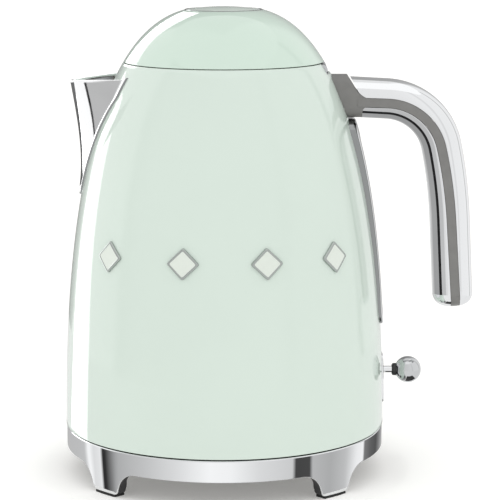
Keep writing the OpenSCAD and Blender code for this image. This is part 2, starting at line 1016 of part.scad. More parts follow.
module lid_dome() {
    steps = 16;
    heights = [for (i = [0:steps]) dome_z0 + (dome_z1 - dome_z0) * sin(90 * i / steps)];
    low = dome_z0 + 0.8;
    inner = [for (i = [0:steps]) low + (dome_z1 - 0.5 - low) * sin(90 * i / steps)];
    color(mint)
        rotate_extrude()
            polygon(concat(
                [for (z = heights) [bell_r(z), z]],
                [[button_hole_r, dome_z1], [button_hole_r, dome_inner(inner[steps])[1]]],
                [for (i = [steps:-1:0]) dome_inner(inner[i])],
                [[bell_r(dome_z0) - 1.5, dome_z0]]
            ));
}

liner_r = 44.4;
liner_z0 = 208;
liner_floor = 1;
flange_z = lid_z;
module lid_liner() {
    color(steel)
        difference() {
            union() {
                translate([0, 0, liner_z0])
                    cylinder(r1 = liner_r - 1.4, r2 = liner_r, h = flange_z - liner_z0 + 0.1);
                translate([0, 0, flange_z])
                    cylinder(r = 50.9, h = 1);
            }
            translate([0, 0, liner_z0 + liner_floor])
                cylinder(r1 = liner_r - 2.4, r2 = liner_r - 1, h = flange_z - liner_z0 + 2);
            block([-55, -5.4, 211.2], [-35, 5.4, 215.2]);
            block([43, -5.6, 218], [60, 5.6, 222]);
        }
}

// Plastic frame that carries the button's guide tube and the latch's rails
frame_z = flange_z + 1.1;
guide_r = 6;
stem_w = 4.2;
module lid_frame() {
    color("#55575a")
        difference() {
            union() {
                ring(49.6, guide_r, frame_z, frame_z + 1.8);
                ring(guide_r + 3.4, guide_r + 1.8, frame_z + 1.7, 233);
                for (s = [-1, 1])
                    block([-38, s * 7.2 - 0.9, 210.2], [16, s * 7.2 + 0.9, frame_z + 0.1]);
            }
            block([-stem_w - 0.4, -stem_w - 0.4, 205], [stem_w + 0.4, stem_w + 0.4, 240]);
            block([42, -6, 218], [60, 6, 225]);
        }
}

// Seal under the liner's flange, cut away beside the hinge so that it clears the collar
seal_r = 47.9;
seal_notch_half = 19;
module lid_seal() {
    color(silicone)
        difference() {
            ring(seal_r, liner_r + 0.05, 216, flange_z - 0.05);
            block([40, -seal_notch_half, 210], [60, seal_notch_half, 230]);
        }
}

module lid_hinge_arm() {
    color(steel)
        difference() {
            union() {
                pin_y(hinge_x, hinge_z, 2.6, 9.6);
                block([44.6, -4.8, flange_z + 0.05], [49.8, 4.8, 222]);
                block([49.1, -4.8, hinge_z], [50.4, 4.8, 221]);
            }
            pin_y(hinge_x, hinge_z, pin_r + pin_clearance, 20);
        }
}

module hinge_pin() {
    color(steel)
        pin_y(hinge_x, hinge_z, pin_r, 28.4);
}

// Torsion spring that lifts the lid, wound round the pin beside the hinge arm
module hinge_spring() {
    color(steel)
        translate([hinge_x, 9.2, hinge_z])
            rotate([90, 0, 0])
                coil(1.85, 0.35, 5, 4, 12, 5);
}

module hinge_damper() {
    color(dark)
        translate([hinge_x, -5.2, hinge_z])
            rotate([90, 0, 0])
                difference() {
                    cylinder(r = 2.5, h = 4);
                    translate([0, 0, -1])
                        cylinder(r = pin_r + 0.02, h = 6);
                }
}

module button_bezel() {
    color(chrome)
        ring(button_hole_r - 0.05, button_r + 0.4, 242, 246.9);
}

// Button with a crowned top, a skirt and a stem that ends in a wedge. The wedge's tip is cut
// off where it would meet the liner's floor when the button is pressed.
button_z = 246.7;
crown_h = 1.5;
stem_z0 = 211.6;
stem_tip_z = liner_z0 + liner_floor + button_travel + 0.3;
module lid_button() {
    steps = 8;
    color("#c7d7ca") {
        rotate_extrude()
            polygon(concat(
                [[button_r - 1.4, 243], [button_r, 243], [button_r, button_z - 0.5]],
                [for (i = [0:steps])
                    let (x = (button_r - 0.4) * cos(90 * i / steps))
                    [x, button_z + crown_h * (1 - pow(x / button_r, 2))]],
                [[0, button_z - 1.3], [button_r - 1.4, button_z - 1.3]]
            ));
        difference() {
            block([-stem_w, -stem_w, stem_tip_z], [stem_w, stem_w, button_z - 1]);
            translate([-stem_w, 0, stem_z0])
                rotate([0, -45, 0])
                    translate([-5, -10, -20])
                        cube([30, 20, 20]);
        }
    }
}

module button_spring() {
    color(steel)
        translate([0, 0, frame_z + 1.9])
            coil(12.5, 0.6, 5, 22, 20, 6);
}

// Latch bar under the frame; the button's wedge draws it back
latch_z0 = 211.6;
latch_z1 = 214.8;
module latch_slide() {
    color("#c8c4b8")
        difference() {
            union() {
                block([-45.4, -4.9, latch_z0], [12.5, 4.9, latch_z1]);
                block([-49.4, -4.9, latch_z0], [-45, 4.9, latch_z1]);
            }
            block([-10, -4.6, latch_z0 - 1], [-0.85, 4.6, latch_z1 + 1]);
        }
}

base_ring();
foot_pads();
base_deck();
base_cover();
cord_gland();
base_screws();
connector_pillar();
connector_core();
core_contacts();
body_base();
body_base_screws();
connector_socket();
socket_contacts();
thermostat_control();
bimetal_discs();
heating_element();
heat_diffuser();
floor_plate();
floor_seal();
switch_frame();
switch_rocker();
rocker_pin();
switch_spring();
lever_bracket();
lever_pin();
power_lever();
lever_collar();
lever_ball();
slot_bezel();
body_shell();
steam_tube();
steam_tube_grommet();
neck_collar();
spout_beak();
spout_flange();
filter_clips();
filter_frame();
filter_mesh();
gauge_frame();
gauge_window();
gauge_gasket();
handle_block();
handle_core();
handle_outer_shell();
handle_inner_shell();
handle_screws();
handle_seals();
body_emblems();
lid_dome();
lid_liner();
lid_frame();
lid_seal();
lid_hinge_arm();
hinge_pin();
hinge_spring();
hinge_damper();
button_bezel();
lid_button();
button_spring();
latch_slide();
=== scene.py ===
"""Looks of the cordless electric kettle: smooth shells, materials, studio and camera.

Lengths in the shape code are millimetres in the row frame and become metres in add_piece().
"""
import math

import bmesh
import bpy
from mathutils import Matrix, Vector


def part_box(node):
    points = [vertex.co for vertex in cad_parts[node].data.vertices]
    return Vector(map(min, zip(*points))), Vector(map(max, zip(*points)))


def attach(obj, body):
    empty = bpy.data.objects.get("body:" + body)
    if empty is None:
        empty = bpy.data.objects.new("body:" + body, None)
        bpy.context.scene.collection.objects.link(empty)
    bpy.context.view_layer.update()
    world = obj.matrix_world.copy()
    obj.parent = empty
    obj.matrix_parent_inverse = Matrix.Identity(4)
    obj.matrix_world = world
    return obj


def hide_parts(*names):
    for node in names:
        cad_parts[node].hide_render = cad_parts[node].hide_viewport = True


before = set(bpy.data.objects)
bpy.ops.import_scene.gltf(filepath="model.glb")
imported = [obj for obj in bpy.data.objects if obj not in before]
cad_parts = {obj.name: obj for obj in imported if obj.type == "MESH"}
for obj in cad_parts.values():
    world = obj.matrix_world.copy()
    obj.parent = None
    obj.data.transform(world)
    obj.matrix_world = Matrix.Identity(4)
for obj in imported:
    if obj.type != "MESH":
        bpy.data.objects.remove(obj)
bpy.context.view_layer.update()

scene = bpy.context.scene
MM = 0.001


def low(node):
    """Lowest corner of a CAD node, in millimetres."""
    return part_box(node)[0] / MM


def high(node):
    """Highest corner of a CAD node, in millimetres."""
    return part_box(node)[1] / MM


# ---------------------------------------------------------------- the bell's curve

BELL_R = high("body_shell").x
BELL_Z0 = 13.85
BELL_TOP = 248.6
BELL_P = 2.33
BELL_Q = 2.766
WALL = 1.2
BODY_Z0 = low("body_shell").z
BODY_Z1 = high("body_shell").z
LID_Z0 = low("lid_dome").z - 0.15
LID_Z1 = high("lid_dome").z


def bell_r(z):
    """Outer radius of the bell at height z."""
    share = (z - BELL_Z0) / (BELL_TOP - BELL_Z0)
    return BELL_R * (1 - share ** BELL_P) ** (1 / BELL_Q)


def bell_slope(z):
    return (bell_r(z + 0.02) - bell_r(z - 0.02)) / 0.04


def bell_inner(z, depth):
    """A point (r, z) at a depth inside the bell, along its normal at height z."""
    n = Vector((1, -bell_slope(z))).normalized()
    return bell_r(z) - n.x * depth, z - n.y * depth


def on_bell(y, z, out, azimuth=0.0):
    """The point over (y, z), seen along the given azimuth's axis, that stands out from the bell."""
    r = bell_r(z) + out
    a = math.asin(max(-1, min(1, y / r))) + azimuth
    return Vector((r * math.cos(a), r * math.sin(a), z))


# ---------------------------------------------------------------- materials

def mix_color(nodes, links, factor, dark, light):
    ramp = nodes.new("ShaderNodeValToRGB")
    ramp.color_ramp.elements[0].color = (*dark, 1)
    ramp.color_ramp.elements[1].color = (*light, 1)
    ramp.color_ramp.elements[0].position = 0.3
    ramp.color_ramp.elements[1].position = 0.7
    links.new(factor, ramp.inputs["Fac"])
    return ramp.outputs["Color"]


def noise_node(nodes, links, scale, detail=3.0, stretch=(1, 1, 1), rough=0.5):
    """Noise in object space, with a stretch for brushed or drawn surfaces."""
    coord = nodes.new("ShaderNodeTexCoord")
    mapping = nodes.new("ShaderNodeMapping")
    mapping.inputs["Scale"].default_value = stretch
    tex = nodes.new("ShaderNodeTexNoise")
    tex.inputs["Scale"].default_value = scale
    tex.inputs["Detail"].default_value = detail
    tex.inputs["Roughness"].default_value = rough
    links.new(coord.outputs["Object"], mapping.inputs["Vector"])
    links.new(mapping.outputs["Vector"], tex.inputs["Vector"])
    return tex.outputs["Fac"]


def map_range(nodes, links, value, low_out, high_out, low_in=0.3, high_in=0.7):
    node = nodes.new("ShaderNodeMapRange")
    node.inputs["From Min"].default_value = low_in
    node.inputs["From Max"].default_value = high_in
    node.inputs["To Min"].default_value = low_out
    node.inputs["To Max"].default_value = high_out
    links.new(value, node.inputs["Value"])
    return node.outputs["Result"]


def surface(name, color, vary=0.04, rough=(0.3, 0.4), rough_scale=60, color_scale=25, metal=0.0,
            bump=0.0, bump_scale=900, bump_stretch=(1, 1, 1), bump_detail=2.0, **sockets):
    """A Principled material with noise in its colour, roughness and relief.

    bump is the relief's height in metres; sockets are constants set on the shader itself.
    """
    mat = bpy.data.materials.new(name)
    mat.use_nodes = True
    nodes, links = mat.node_tree.nodes, mat.node_tree.links
    shader = nodes["Principled BSDF"]
    shader.inputs["Metallic"].default_value = metal
    tone = noise_node(nodes, links, color_scale, 4.0)
    dark = [c * (1 - vary) for c in color]
    light = [min(1, c * (1 + vary)) for c in color]
    links.new(mix_color(nodes, links, tone, dark, light), shader.inputs["Base Color"])
    haze = noise_node(nodes, links, rough_scale, 5.0, bump_stretch)
    links.new(map_range(nodes, links, haze, *rough), shader.inputs["Roughness"])
    if bump:
        relief = nodes.new("ShaderNodeBump")
        relief.inputs["Distance"].default_value = bump
        relief.inputs["Strength"].default_value = 1.0
        grain = noise_node(nodes, links, bump_scale, bump_detail, bump_stretch)
        links.new(grain, relief.inputs["Height"])
        links.new(relief.outputs["Normal"], shader.inputs["Normal"])
    for socket, value in sockets.items():
        shader.inputs[socket.replace("_", " ")].default_value = value
    mat.diffuse_color = (*color, 1)
    return mat


BODY_MINT = (0.60, 0.69, 0.625)
LID_MINT = (0.56, 0.68, 0.595)
BUTTON_MINT = (0.64, 0.73, 0.66)

enamel = surface("body_enamel", BODY_MINT, vary=0.012, rough=(0.045, 0.08), color_scale=12,
                 rough_scale=30, bump=0.000012, bump_scale=420, Coat_Weight=0.5,
                 Coat_Roughness=0.03, Specular_IOR_Level=0.5)
lid_enamel = surface("lid_enamel", LID_MINT, vary=0.012, rough=(0.045, 0.08), color_scale=12,
                     rough_scale=30, bump=0.000012, bump_scale=420, Coat_Weight=0.5,
                     Coat_Roughness=0.03, Specular_IOR_Level=0.5)
button_enamel = surface("button_enamel", BUTTON_MINT, vary=0.02, rough=(0.14, 0.2),
                        color_scale=14, rough_scale=30, bump=0.000012, bump_scale=420,
                        Coat_Weight=0.4, Coat_Roughness=0.04)
# Emblem colours stand in for light: darkened chrome on the lozenges' edges is a painted dark
# reflection, and the pale coated face is a painted reflection of their chrome.
emblem_chrome_painted_dark_reflection = surface("emblem_chrome_painted_dark_reflection", (0.42, 0.45, 0.43), vary=0.02, rough=(0.1, 0.16),
                        metal=1.0, rough_scale=45, bump=0.000006, bump_scale=160)
emblem_face_painted_reflection = surface("emblem_face_painted_reflection", (0.66, 0.71, 0.65), vary=0.03, rough=(0.14, 0.24),
                        bump=0.00001, bump_scale=700, Coat_Weight=0.4, Coat_Roughness=0.05)
chrome = surface("chrome", (0.83, 0.84, 0.85), vary=0.012, rough=(0.035, 0.075), metal=1.0,
                 rough_scale=45, bump=0.000006, bump_scale=160)
# Chrome with its colour darkened for the lever's ball: a painted dark reflection over the whole
# ball.
ball_chrome_painted_dark_reflection = surface("ball_chrome_painted_dark_reflection", (0.62, 0.63, 0.64), vary=0.02, rough=(0.04, 0.08),
                      metal=1.0, rough_scale=45, bump=0.000004, bump_scale=160)
# Chrome with its colour darkened: a painted dark reflection, for the ring round the button and the
# side walls of the spout's bead and the gauge frame.
chrome_painted_dark_reflection = surface("chrome_painted_dark_reflection", (0.30, 0.31, 0.31), vary=0.02, rough=(0.08, 0.14),
                      metal=1.0, rough_scale=45, bump=0.000006, bump_scale=160)
band_chrome = surface("band_chrome", (0.80, 0.81, 0.82), vary=0.015, rough=(0.035, 0.06),
                      metal=1.0, rough_scale=45, bump=0.000006, bump_scale=160)
spout_steel = surface("spout_steel", (0.86, 0.865, 0.87), vary=0.02, rough=(0.05, 0.09),
                      metal=1.0, rough_scale=120, bump=0.000005, bump_scale=200)
vessel_steel = surface("vessel_steel", (0.55, 0.56, 0.57), vary=0.06, rough=(0.26, 0.38),
                       metal=1.0, rough_scale=240, bump=0.000015, bump_scale=650,
                       bump_stretch=(1, 1, 0.06))
screw_steel = surface("screw_steel", (0.48, 0.49, 0.50), vary=0.08, rough=(0.2, 0.34), metal=1.0,
                      bump=0.00002, bump_scale=900)
element_steel = surface("element_steel", (0.33, 0.30, 0.26), vary=0.25, rough=(0.35, 0.5),
                        metal=1.0, color_scale=60, bump=0.00003, bump_scale=700)
aluminium = surface("aluminium", (0.60, 0.61, 0.62), vary=0.08, rough=(0.4, 0.55), metal=1.0,
                    bump=0.00004, bump_scale=500)
brass = surface("brass", (0.58, 0.42, 0.16), vary=0.08, rough=(0.2, 0.32), metal=1.0,
                bump=0.00001, bump_scale=600)
grey_plastic = surface("grey_plastic", (0.175, 0.172, 0.166), vary=0.05, rough=(0.42, 0.52),
                       color_scale=200, bump=0.00002, bump_scale=2600)
# Black plastic of the real dark parts; on the chrome skirt's underside and inner lower edge it is
# painted shade.
dark_plastic = surface("dark_plastic", (0.022, 0.022, 0.023), vary=0.12, rough=(0.42, 0.56),
                       color_scale=140, bump=0.00003, bump_scale=2200)
white_plastic = surface("white_plastic", (0.66, 0.64, 0.58), vary=0.03, rough=(0.32, 0.42),
                        bump=0.00001, bump_scale=1500)
silicone = surface("silicone", (0.62, 0.60, 0.55), vary=0.05, rough=(0.45, 0.6),
                   bump=0.00002, bump_scale=1200, Transmission_Weight=0.15)
rubber = surface("rubber", (0.012, 0.012, 0.012), vary=0.2, rough=(0.7, 0.85),
                 bump=0.00005, bump_scale=1800)
window_plastic = surface("window_plastic", (0.80, 0.84, 0.82), vary=0.03, rough=(0.16, 0.26),
                         bump=0.000008, bump_scale=500, Transmission_Weight=0.55, IOR=1.46)

CAD_LOOKS = {
    dark_plastic: ["base_deck", "base_cover", "cord_gland", "connector_pillar", "connector_core",
                   "body_base", "connector_socket", "switch_frame", "lever_bracket", "lid_frame",
                   "hinge_damper"],
    screw_steel: ["base_screws", "body_base_screws", "bimetal_discs", "rocker_pin",
                  "switch_spring", "lever_pin", "handle_screws", "hinge_pin", "hinge_spring",
                  "button_spring"],
    vessel_steel: ["floor_plate", "steam_tube", "neck_collar", "filter_clips", "filter_mesh",
                   "lid_liner", "lid_hinge_arm"],
    brass: ["core_contacts", "socket_contacts"],
    white_plastic: ["thermostat_control", "switch_rocker", "filter_frame", "latch_slide"],
    silicone: ["floor_seal", "steam_tube_grommet", "gauge_gasket", "handle_seals", "lid_seal"],
    rubber: ["foot_pads"],
    element_steel: ["heating_element"],
    aluminium: ["heat_diffuser"],
}
for look, names in CAD_LOOKS.items():
    for name in names:
        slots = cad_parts[name].data.materials
        slots.clear()
        slots.append(look)


# ---------------------------------------------------------------- mesh helpers

def add_piece(name, verts, faces, looks, body, replaces=(), face_looks=None, sharp=35,
              merge=0.0005, cutters=()):
    """Makes a smooth-shaded mesh piece from points in millimetres and puts it on its body."""
    mesh = bpy.data.meshes.new(name)
    mesh.from_pydata([tuple(v) for v in verts], [], faces)
    for look in looks:
        mesh.materials.append(look)
    if face_looks:
        for face, index in zip(mesh.polygons, face_looks):
            face.material_index = index
    bm = bmesh.new()
    bm.from_mesh(mesh)
    bmesh.ops.remove_doubles(bm, verts=bm.verts, dist=merge)
    bmesh.ops.dissolve_degenerate(bm, edges=bm.edges, dist=merge)
    bmesh.ops.recalc_face_normals(bm, faces=bm.faces)
    bmesh.ops.scale(bm, vec=(MM, MM, MM), verts=bm.verts)
    bm.to_mesh(mesh)
    bm.free()
    obj = bpy.data.objects.new(name, mesh)
    scene.collection.objects.link(obj)
    if cutters:
        cut(obj, cutters)
    for face in obj.data.polygons:
        face.use_smooth = True
    obj.data.set_sharp_from_angle(angle=math.radians(sharp))
    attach(obj, body)
    if replaces:
        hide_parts(*replaces)
    return obj


def cut(obj, cutters):
    """Takes closed prisms, each (verts, faces) in millimetres, out of a closed mesh."""
    tools = []
    for verts, faces in cutters:
        mesh = bpy.data.meshes.new("cutter")
        mesh.from_pydata([tuple(Vector(v) * MM) for v in verts], [], faces)
        bm = bmesh.new()
        bm.from_mesh(mesh)
        bmesh.ops.recalc_face_normals(bm, faces=bm.faces)
        bm.to_mesh(mesh)
        bm.free()
        tool = bpy.data.objects.new("cutter", mesh)
        scene.collection.objects.link(tool)
        mod = obj.modifiers.new("cut", "BOOLEAN")
        mod.operation = "DIFFERENCE"
        mod.solver = "EXACT"
        mod.object = tool
        tools.append(tool)
    done = obj.evaluated_get(bpy.context.evaluated_depsgraph_get())
    mesh = bpy.data.meshes.new_from_object(done)
    obj.modifiers.clear()
    obj.data = mesh
    mesh.name = obj.name
    for tool in tools:
        bpy.data.objects.remove(tool)


def grid(rows, loop=True, first=0):
    """Quads between rows of points. loop closes each row on itself."""
    n = len(rows[0])
    faces = []
    for i in range(len(rows) - 1):
        for j in range(n if loop else n - 1):
            a, b = first + i * n + j, first + i * n + (j + 1) % n
            faces.append((a, b, b + n, a + n))
    return faces


def ring_faces(count, n):
    """Quads round a closed ring of count closed sections of n points each."""
    faces = []
    for i in range(count):
        k = (i + 1) % count
        for j in range(n):
            m = (j + 1) % n
            faces.append((i * n + j, k * n + j, k * n + m, i * n + m))
    return faces


def tube_faces(count, n):
    """Quads along an open run of count closed sections of n points each."""
    faces = []
    for i in range(count - 1):
        for j in range(n):
            m = (j + 1) % n
            faces.append((i * n + j, i * n + m, (i + 1) * n + m, (i + 1) * n + j))
    return faces


def lathe(profile, segments=192):
    """Closed solid of revolution about Z from a closed profile of (r, z)."""
    verts = []
    for i in range(segments):
        a = 2 * math.pi * i / segments
        verts += [(r * math.cos(a), r * math.sin(a), z) for r, z in profile]
    return verts, ring_faces(segments, len(profile))


def rounded(points, radii, steps=5):
    """A polygon with its corners rounded. A radius of 0 keeps a corner."""
    out = []
    for i, p in enumerate(points):
        r = radii[i] if isinstance(radii, (list, tuple)) else radii
        p = Vector(p)
        a, b = Vector(points[i - 1]), Vector(points[(i + 1) % len(points)])
        if not r:
            out.append(p)
            continue
        to_a, to_b = (a - p).normalized(), (b - p).normalized()
        half = math.acos(max(-1, min(1, to_a.dot(to_b)))) / 2
        reach = min(r / math.tan(half), (a - p).length * 0.49, (b - p).length * 0.49)
        start, end = p + to_a * reach, p + to_b * reach
        for k in range(steps + 1):
            t = k / steps
            out.append(start * (1 - t) ** 2 + p * 2 * t * (1 - t) + end * t ** 2)
    return out


def rounded_box(half_w, z0, z1, r, steps=8):
    """An upright rectangle with round corners, as (y, z) points."""
    out = []
    for cy, cz, a0 in ((half_w - r, z1 - r, 0), (-half_w + r, z1 - r, 90),
                       (-half_w + r, z0 + r, 180), (half_w - r, z0 + r, 270)):
        for k in range(steps + 1):
            a = math.radians(a0 + 90 * k / steps)
            out.append(Vector((cy + r * math.cos(a), cz + r * math.sin(a))))
    return out


def dense(outline, step):
    """The closed outline with points added so that none are further apart than step."""
    out = []
    for a, b in zip(outline, outline[1:] + outline[:1]):
        count = max(1, math.ceil((b - a).length / step))
        out += [a.lerp(b, k / count) for k in range(count)]
    return out


def prism_x(outline, x0, x1):
    """Closed prism along X over an outline of (y, z)."""
    n = len(outline)
    verts = [(x, p[0], p[1]) for x in (x0, x1) for p in outline]
    faces = [tuple(range(n)), tuple(range(2 * n - 1, n - 1, -1))]
    faces += [(j, (j + 1) % n, n + (j + 1) % n, n + j) for j in range(n)]
    return verts, faces


def box_solid(lo, hi):
    outline = [(lo[1], lo[2]), (hi[1], lo[2]), (hi[1], hi[2]), (lo[1], hi[2])]
    return prism_x(outline, lo[0], hi[0])


# ---------------------------------------------------------------- body shell

SPOUT_Z0 = 152
SPOUT_WIDE_Z = 203
SPOUT_HALF = 25.2
TAIL_R = 6.7


def spout_v(z):
    share = min(1, max(0, (z - SPOUT_Z0) / (SPOUT_WIDE_Z - SPOUT_Z0)))
    return 6 + (SPOUT_HALF - 6) * share ** 1.3


def spout_w(z):
    """Half-width of the spout's V at height z, with its round tail."""
    if z >= SPOUT_Z0 + TAIL_R:
        return spout_v(z)
    return math.sqrt(max(0, TAIL_R ** 2 - (SPOUT_Z0 + TAIL_R - z) ** 2))


def spout_path(margin, top, steps=36):
    """The V from its upper left end round the tail to its upper right end, as (y, z)."""
    low_z = SPOUT_Z0 + TAIL_R
    right = [Vector((spout_v(z) + margin, z))
             for z in [low_z + (top - low_z) * (k / steps) for k in range(1, steps + 1)]]
    tail = [Vector(((TAIL_R + margin) * math.sin(a), low_z - (TAIL_R + margin) * math.cos(a)))
            for a in [math.radians(-90 + 180 * k / 16) for k in range(17)]]
    left = [Vector((-p.x, p.y)) for p in reversed(right)]
    return left + tail + right


def body_profile(z0, z1, rows, edge=0.35):
    """Closed profile of the steel wall with softened edges."""
    outer, inner = [], []
    for k in range(rows + 1):
        z = z0 + (z1 - z0) * k / rows
        trim = 0.0
        for dist in (z - z0, z1 - z):
            if dist < edge:
                trim = edge - math.sqrt(max(0, edge ** 2 - (edge - dist) ** 2))
        outer.append((bell_r(z) - trim, z))
        inner.append((bell_r(z) - WALL + trim, z))
    extra = [z0 + edge * s for s in (0.06, 0.3, 0.6)] + [z1 - edge * s for s in (0.6, 0.3, 0.06)]
    for z in extra:
        dist = min(z - z0, z1 - z)
        trim = edge - math.sqrt(max(0, edge ** 2 - (edge - dist) ** 2))
        outer.append((bell_r(z) - trim, z))
        inner.append((bell_r(z) - WALL + trim, z))
    outer.sort(key=lambda p: p[1])
    inner.sort(key=lambda p: -p[1])
    return outer, inner


GAUGE_HALF = (high("gauge_frame").y - low("gauge_frame").y) / 2
GAUGE_Z0 = low("gauge_frame").z
GAUGE_Z1 = high("gauge_frame").z
WINDOW_HALF = (high("gauge_window").y - low("gauge_window").y) / 2
WINDOW_Z0 = low("gauge_window").z
WINDOW_Z1 = high("gauge_window").z
NOTCH_HALF = 15.5


def make_body_shell():
    outer, inner = body_profile(BODY_Z0, BODY_Z1, 110)
    verts, faces = lathe(outer + inner, 224)
    n = len(outer)
    looks = [0 if j < n or j >= len(outer) + len(inner) - 1 else 1
             for _ in range(224) for j in range(len(outer) + len(inner))]
    cutters = [
        prism_x(spout_path(-1.2, 208.6), -95, -40),
        prism_x(rounded_box(WINDOW_HALF + 1.2, WINDOW_Z0 - 1.2, WINDOW_Z1 + 1.2, 5), 50, 100),
        prism_x(rounded_box(3.4, 41, 58.6, 1.5), 70, 100),
        box_solid((40, -NOTCH_HALF, 213.6), (70, NOTCH_HALF, 225)),
    ]
    add_piece("body_shell_skin", verts, faces, [enamel, vessel_steel], "kettle",
              ["body_shell"], looks, sharp=32, cutters=cutters)


# ---------------------------------------------------------------- lid

BUTTON_R = high("lid_button").x
BUTTON_TOP = high("lid_button").z
BEZEL_R = high("button_bezel").x
BEZEL_TOP = high("button_bezel").z


def make_lid_dome():
    """Dome skin with a rolled lower edge and a round hole for the button."""
    hole = BEZEL_R + 0.05
    rows = 70
    outer = []
    for k in range(rows + 1):
        z = LID_Z0 + 0.35 + (LID_Z1 - LID_Z0 - 0.35) * math.sin(math.pi / 2 * k / rows)
        outer.append((max(bell_r(z), hole + 0.3), z))
    start = [(bell_r(LID_Z0) - 0.5, LID_Z0), (bell_r(LID_Z0) - 0.2, LID_Z0 + 0.06),
             (bell_r(LID_Z0) - 0.05, LID_Z0 + 0.2)]
    rim = [(hole + 0.1, LID_Z1 - 0.08), (hole, LID_Z1 - 0.3), (hole, LID_Z1 - 1.2)]
    inner = []
    for k in range(rows, -1, -1):
        z = LID_Z0 + 0.9 + (LID_Z1 - 0.5 - LID_Z0 - 0.9) * math.sin(math.pi / 2 * k / rows)
        r, iz = bell_inner(z, WALL)
        if r > hole:
            inner.append((r, iz))
    inner.append((bell_r(LID_Z0) - 1.45, LID_Z0 + 0.05))
    profile = start + outer + rim + inner
    verts, faces = lathe(profile, 192)
    n, face_looks = len(start + outer + rim), []
    for _ in range(192):
        face_looks += [0 if j < n - 1 else 1 for j in range(len(profile))]
    add_piece("lid_dome_skin", verts, faces, [lid_enamel, dark_plastic], "lid",
              ["lid_dome"], face_looks)


def make_button():
    """Crowned cap with a soft shoulder; its stem stays the CAD one."""
    shoulder = 0.7
    top, edge_z = BUTTON_TOP, BUTTON_TOP - 1.5
    crown = []
    for k in range(25):
        r = (BUTTON_R - shoulder) * (1 - k / 24)
        crown.append((r, edge_z + 1.5 * (1 - (r / BUTTON_R) ** 2)))
    side = [(BUTTON_R - 1.4, 243.1), (BUTTON_R - 0.3, 243), (BUTTON_R, 243.3)]
    side += [(BUTTON_R, edge_z - 0.9), (BUTTON_R, edge_z - 0.6)]
    side += [(BUTTON_R - shoulder * (1 - math.cos(a)), edge_z - 0.55 + shoulder * math.sin(a))
             for a in [math.radians(v) for v in (15, 30, 45, 60, 75)]]
    under = [(0, edge_z - 1.2), (BUTTON_R - 1.4, edge_z - 1.2)]
    verts, faces = lathe(side + crown + under, 160)
    add_piece("button_cap", verts, faces, [button_enamel], "button")


def make_button_bezel():
    inner = BUTTON_R + 0.4
    z0, z1 = low("button_bezel").z, BEZEL_TOP
    profile = rounded([(inner, z0), (BEZEL_R, z0), (BEZEL_R, z1), (inner, z1)], [0, 0, 0.2, 0.2])
    verts, faces = lathe([tuple(p) for p in profile], 160)
    # The ring takes the darkened chrome: its dark line is a painted reflection.
    add_piece("button_bezel_ring", verts, faces, [chrome_painted_dark_reflection], "lid",
              ["button_bezel"])


# ---------------------------------------------------------------- spout

TIP_Z = 209.6
SPOUT_RISE = 2.4
KEEL_ROUND = 0.025


def keel_out(z):
    """How far the keel stands out from the bell at height z."""
    return 1.3 + 21.3 * max(0, (z - SPOUT_Z0) / (TIP_Z - SPOUT_Z0)) ** 1.75


def beak_shape(s):
    e = KEEL_ROUND
    return (math.sqrt(1 + e) - math.sqrt(s * s + e)) / (math.sqrt(1 + e) - math.sqrt(e))


def beak_point(t, s, inset, lift=0.0):
    """t runs from tail to rim, s from edge (-1) over the keel to the other edge (1)."""
    rim = TIP_Z + SPOUT_RISE * abs(s)
    z = SPOUT_Z0 + 0.6 + (rim - SPOUT_Z0 - 0.6) * t
    y = spout_w(z) * s
    out = keel_out(z) * beak_shape(s)
    metal = inset * min(1.5, 0.35 + 0.6 * out)
    x = -math.sqrt(bell_r(z) ** 2 - y * y) - 0.45 - out + metal
    return (x, y, z + lift)


def make_spout_beak():
    levels, across = 64, 72
    rows = []
    for i in range(levels + 1):
        t = (i / levels) ** 1.25 * (1 - 0.008)
        rows.append([beak_point(t, 2 * j / across - 1, 0) for j in range(across + 1)]
                    + [beak_point(t, 2 * j / across - 1, 1) for j in range(across, -1, -1)])
    for k in (1, 2, 3, 4):
        a = math.radians(22.5 * k)
        inset, lift = 0.5 * (1 - math.cos(a)), 0.42 * math.sin(a)
        t = 1 - 0.008
        rows.append([beak_point(t, 2 * j / across - 1, inset, lift) for j in range(across + 1)]
                    + [beak_point(t, 2 * j / across - 1, 1 - inset, lift)
                       for j in range(across, -1, -1)])
    verts = [p for row in rows for p in row]
    faces = grid(rows)
    faces.append(tuple(range(len(rows[0]))))
    add_piece("spout_beak_skin", verts, faces, [spout_steel], "kettle",
              ["spout_beak"], sharp=40, merge=0.01)


def make_spout_flange():
    """Bead round the V, raised from the bell."""
    section = [(0.35, 0.02), (0.35, 0.75), (0.5, 1.0), (0.8, 1.1), (2.45, 1.1), (2.8, 0.98),
               (3.0, 0.7), (3.0, 0.02)]
    rows = []
    paths = [spout_path(margin, 213.1) for margin, _ in section]
    for i in range(len(paths[0])):
        rows.append([on_bell(-paths[k][i].x, paths[k][i].y, out, math.pi)
                     for k, (_, out) in enumerate(section)])
    verts = [p for row in rows for p in row]
    faces = grid(rows)
    n = len(section)
    faces += [tuple(range(n)), tuple(range(len(verts) - 1, len(verts) - 1 - n, -1))]
    # The bead's side walls take the darkened chrome, a painted dark reflection; its top stays bright
    # chrome.
    looks = [1, 1, 0, 0, 0, 1, 1, 1] * (len(rows) - 1) + [1, 1]
    add_piece("spout_flange_bead", verts, faces, [spout_steel, chrome_painted_dark_reflection], "kettle",
              ["spout_flange"], looks, sharp=50)


# ---------------------------------------------------------------- gauge and bezel

FOOT_GAP = 0.03  # how far a pad's foot stands off the enamel
FRAME_EDGE = 1.4  # depth of the frame's rounded edges


def gauge_out(z):
    """How far the gauge frame stands out from the bell at height z."""
    share = max(0, (z - GAUGE_Z0) / (GAUGE_Z1 - GAUGE_Z0))
    return 1.5 + 2.1 * share ** 1.2


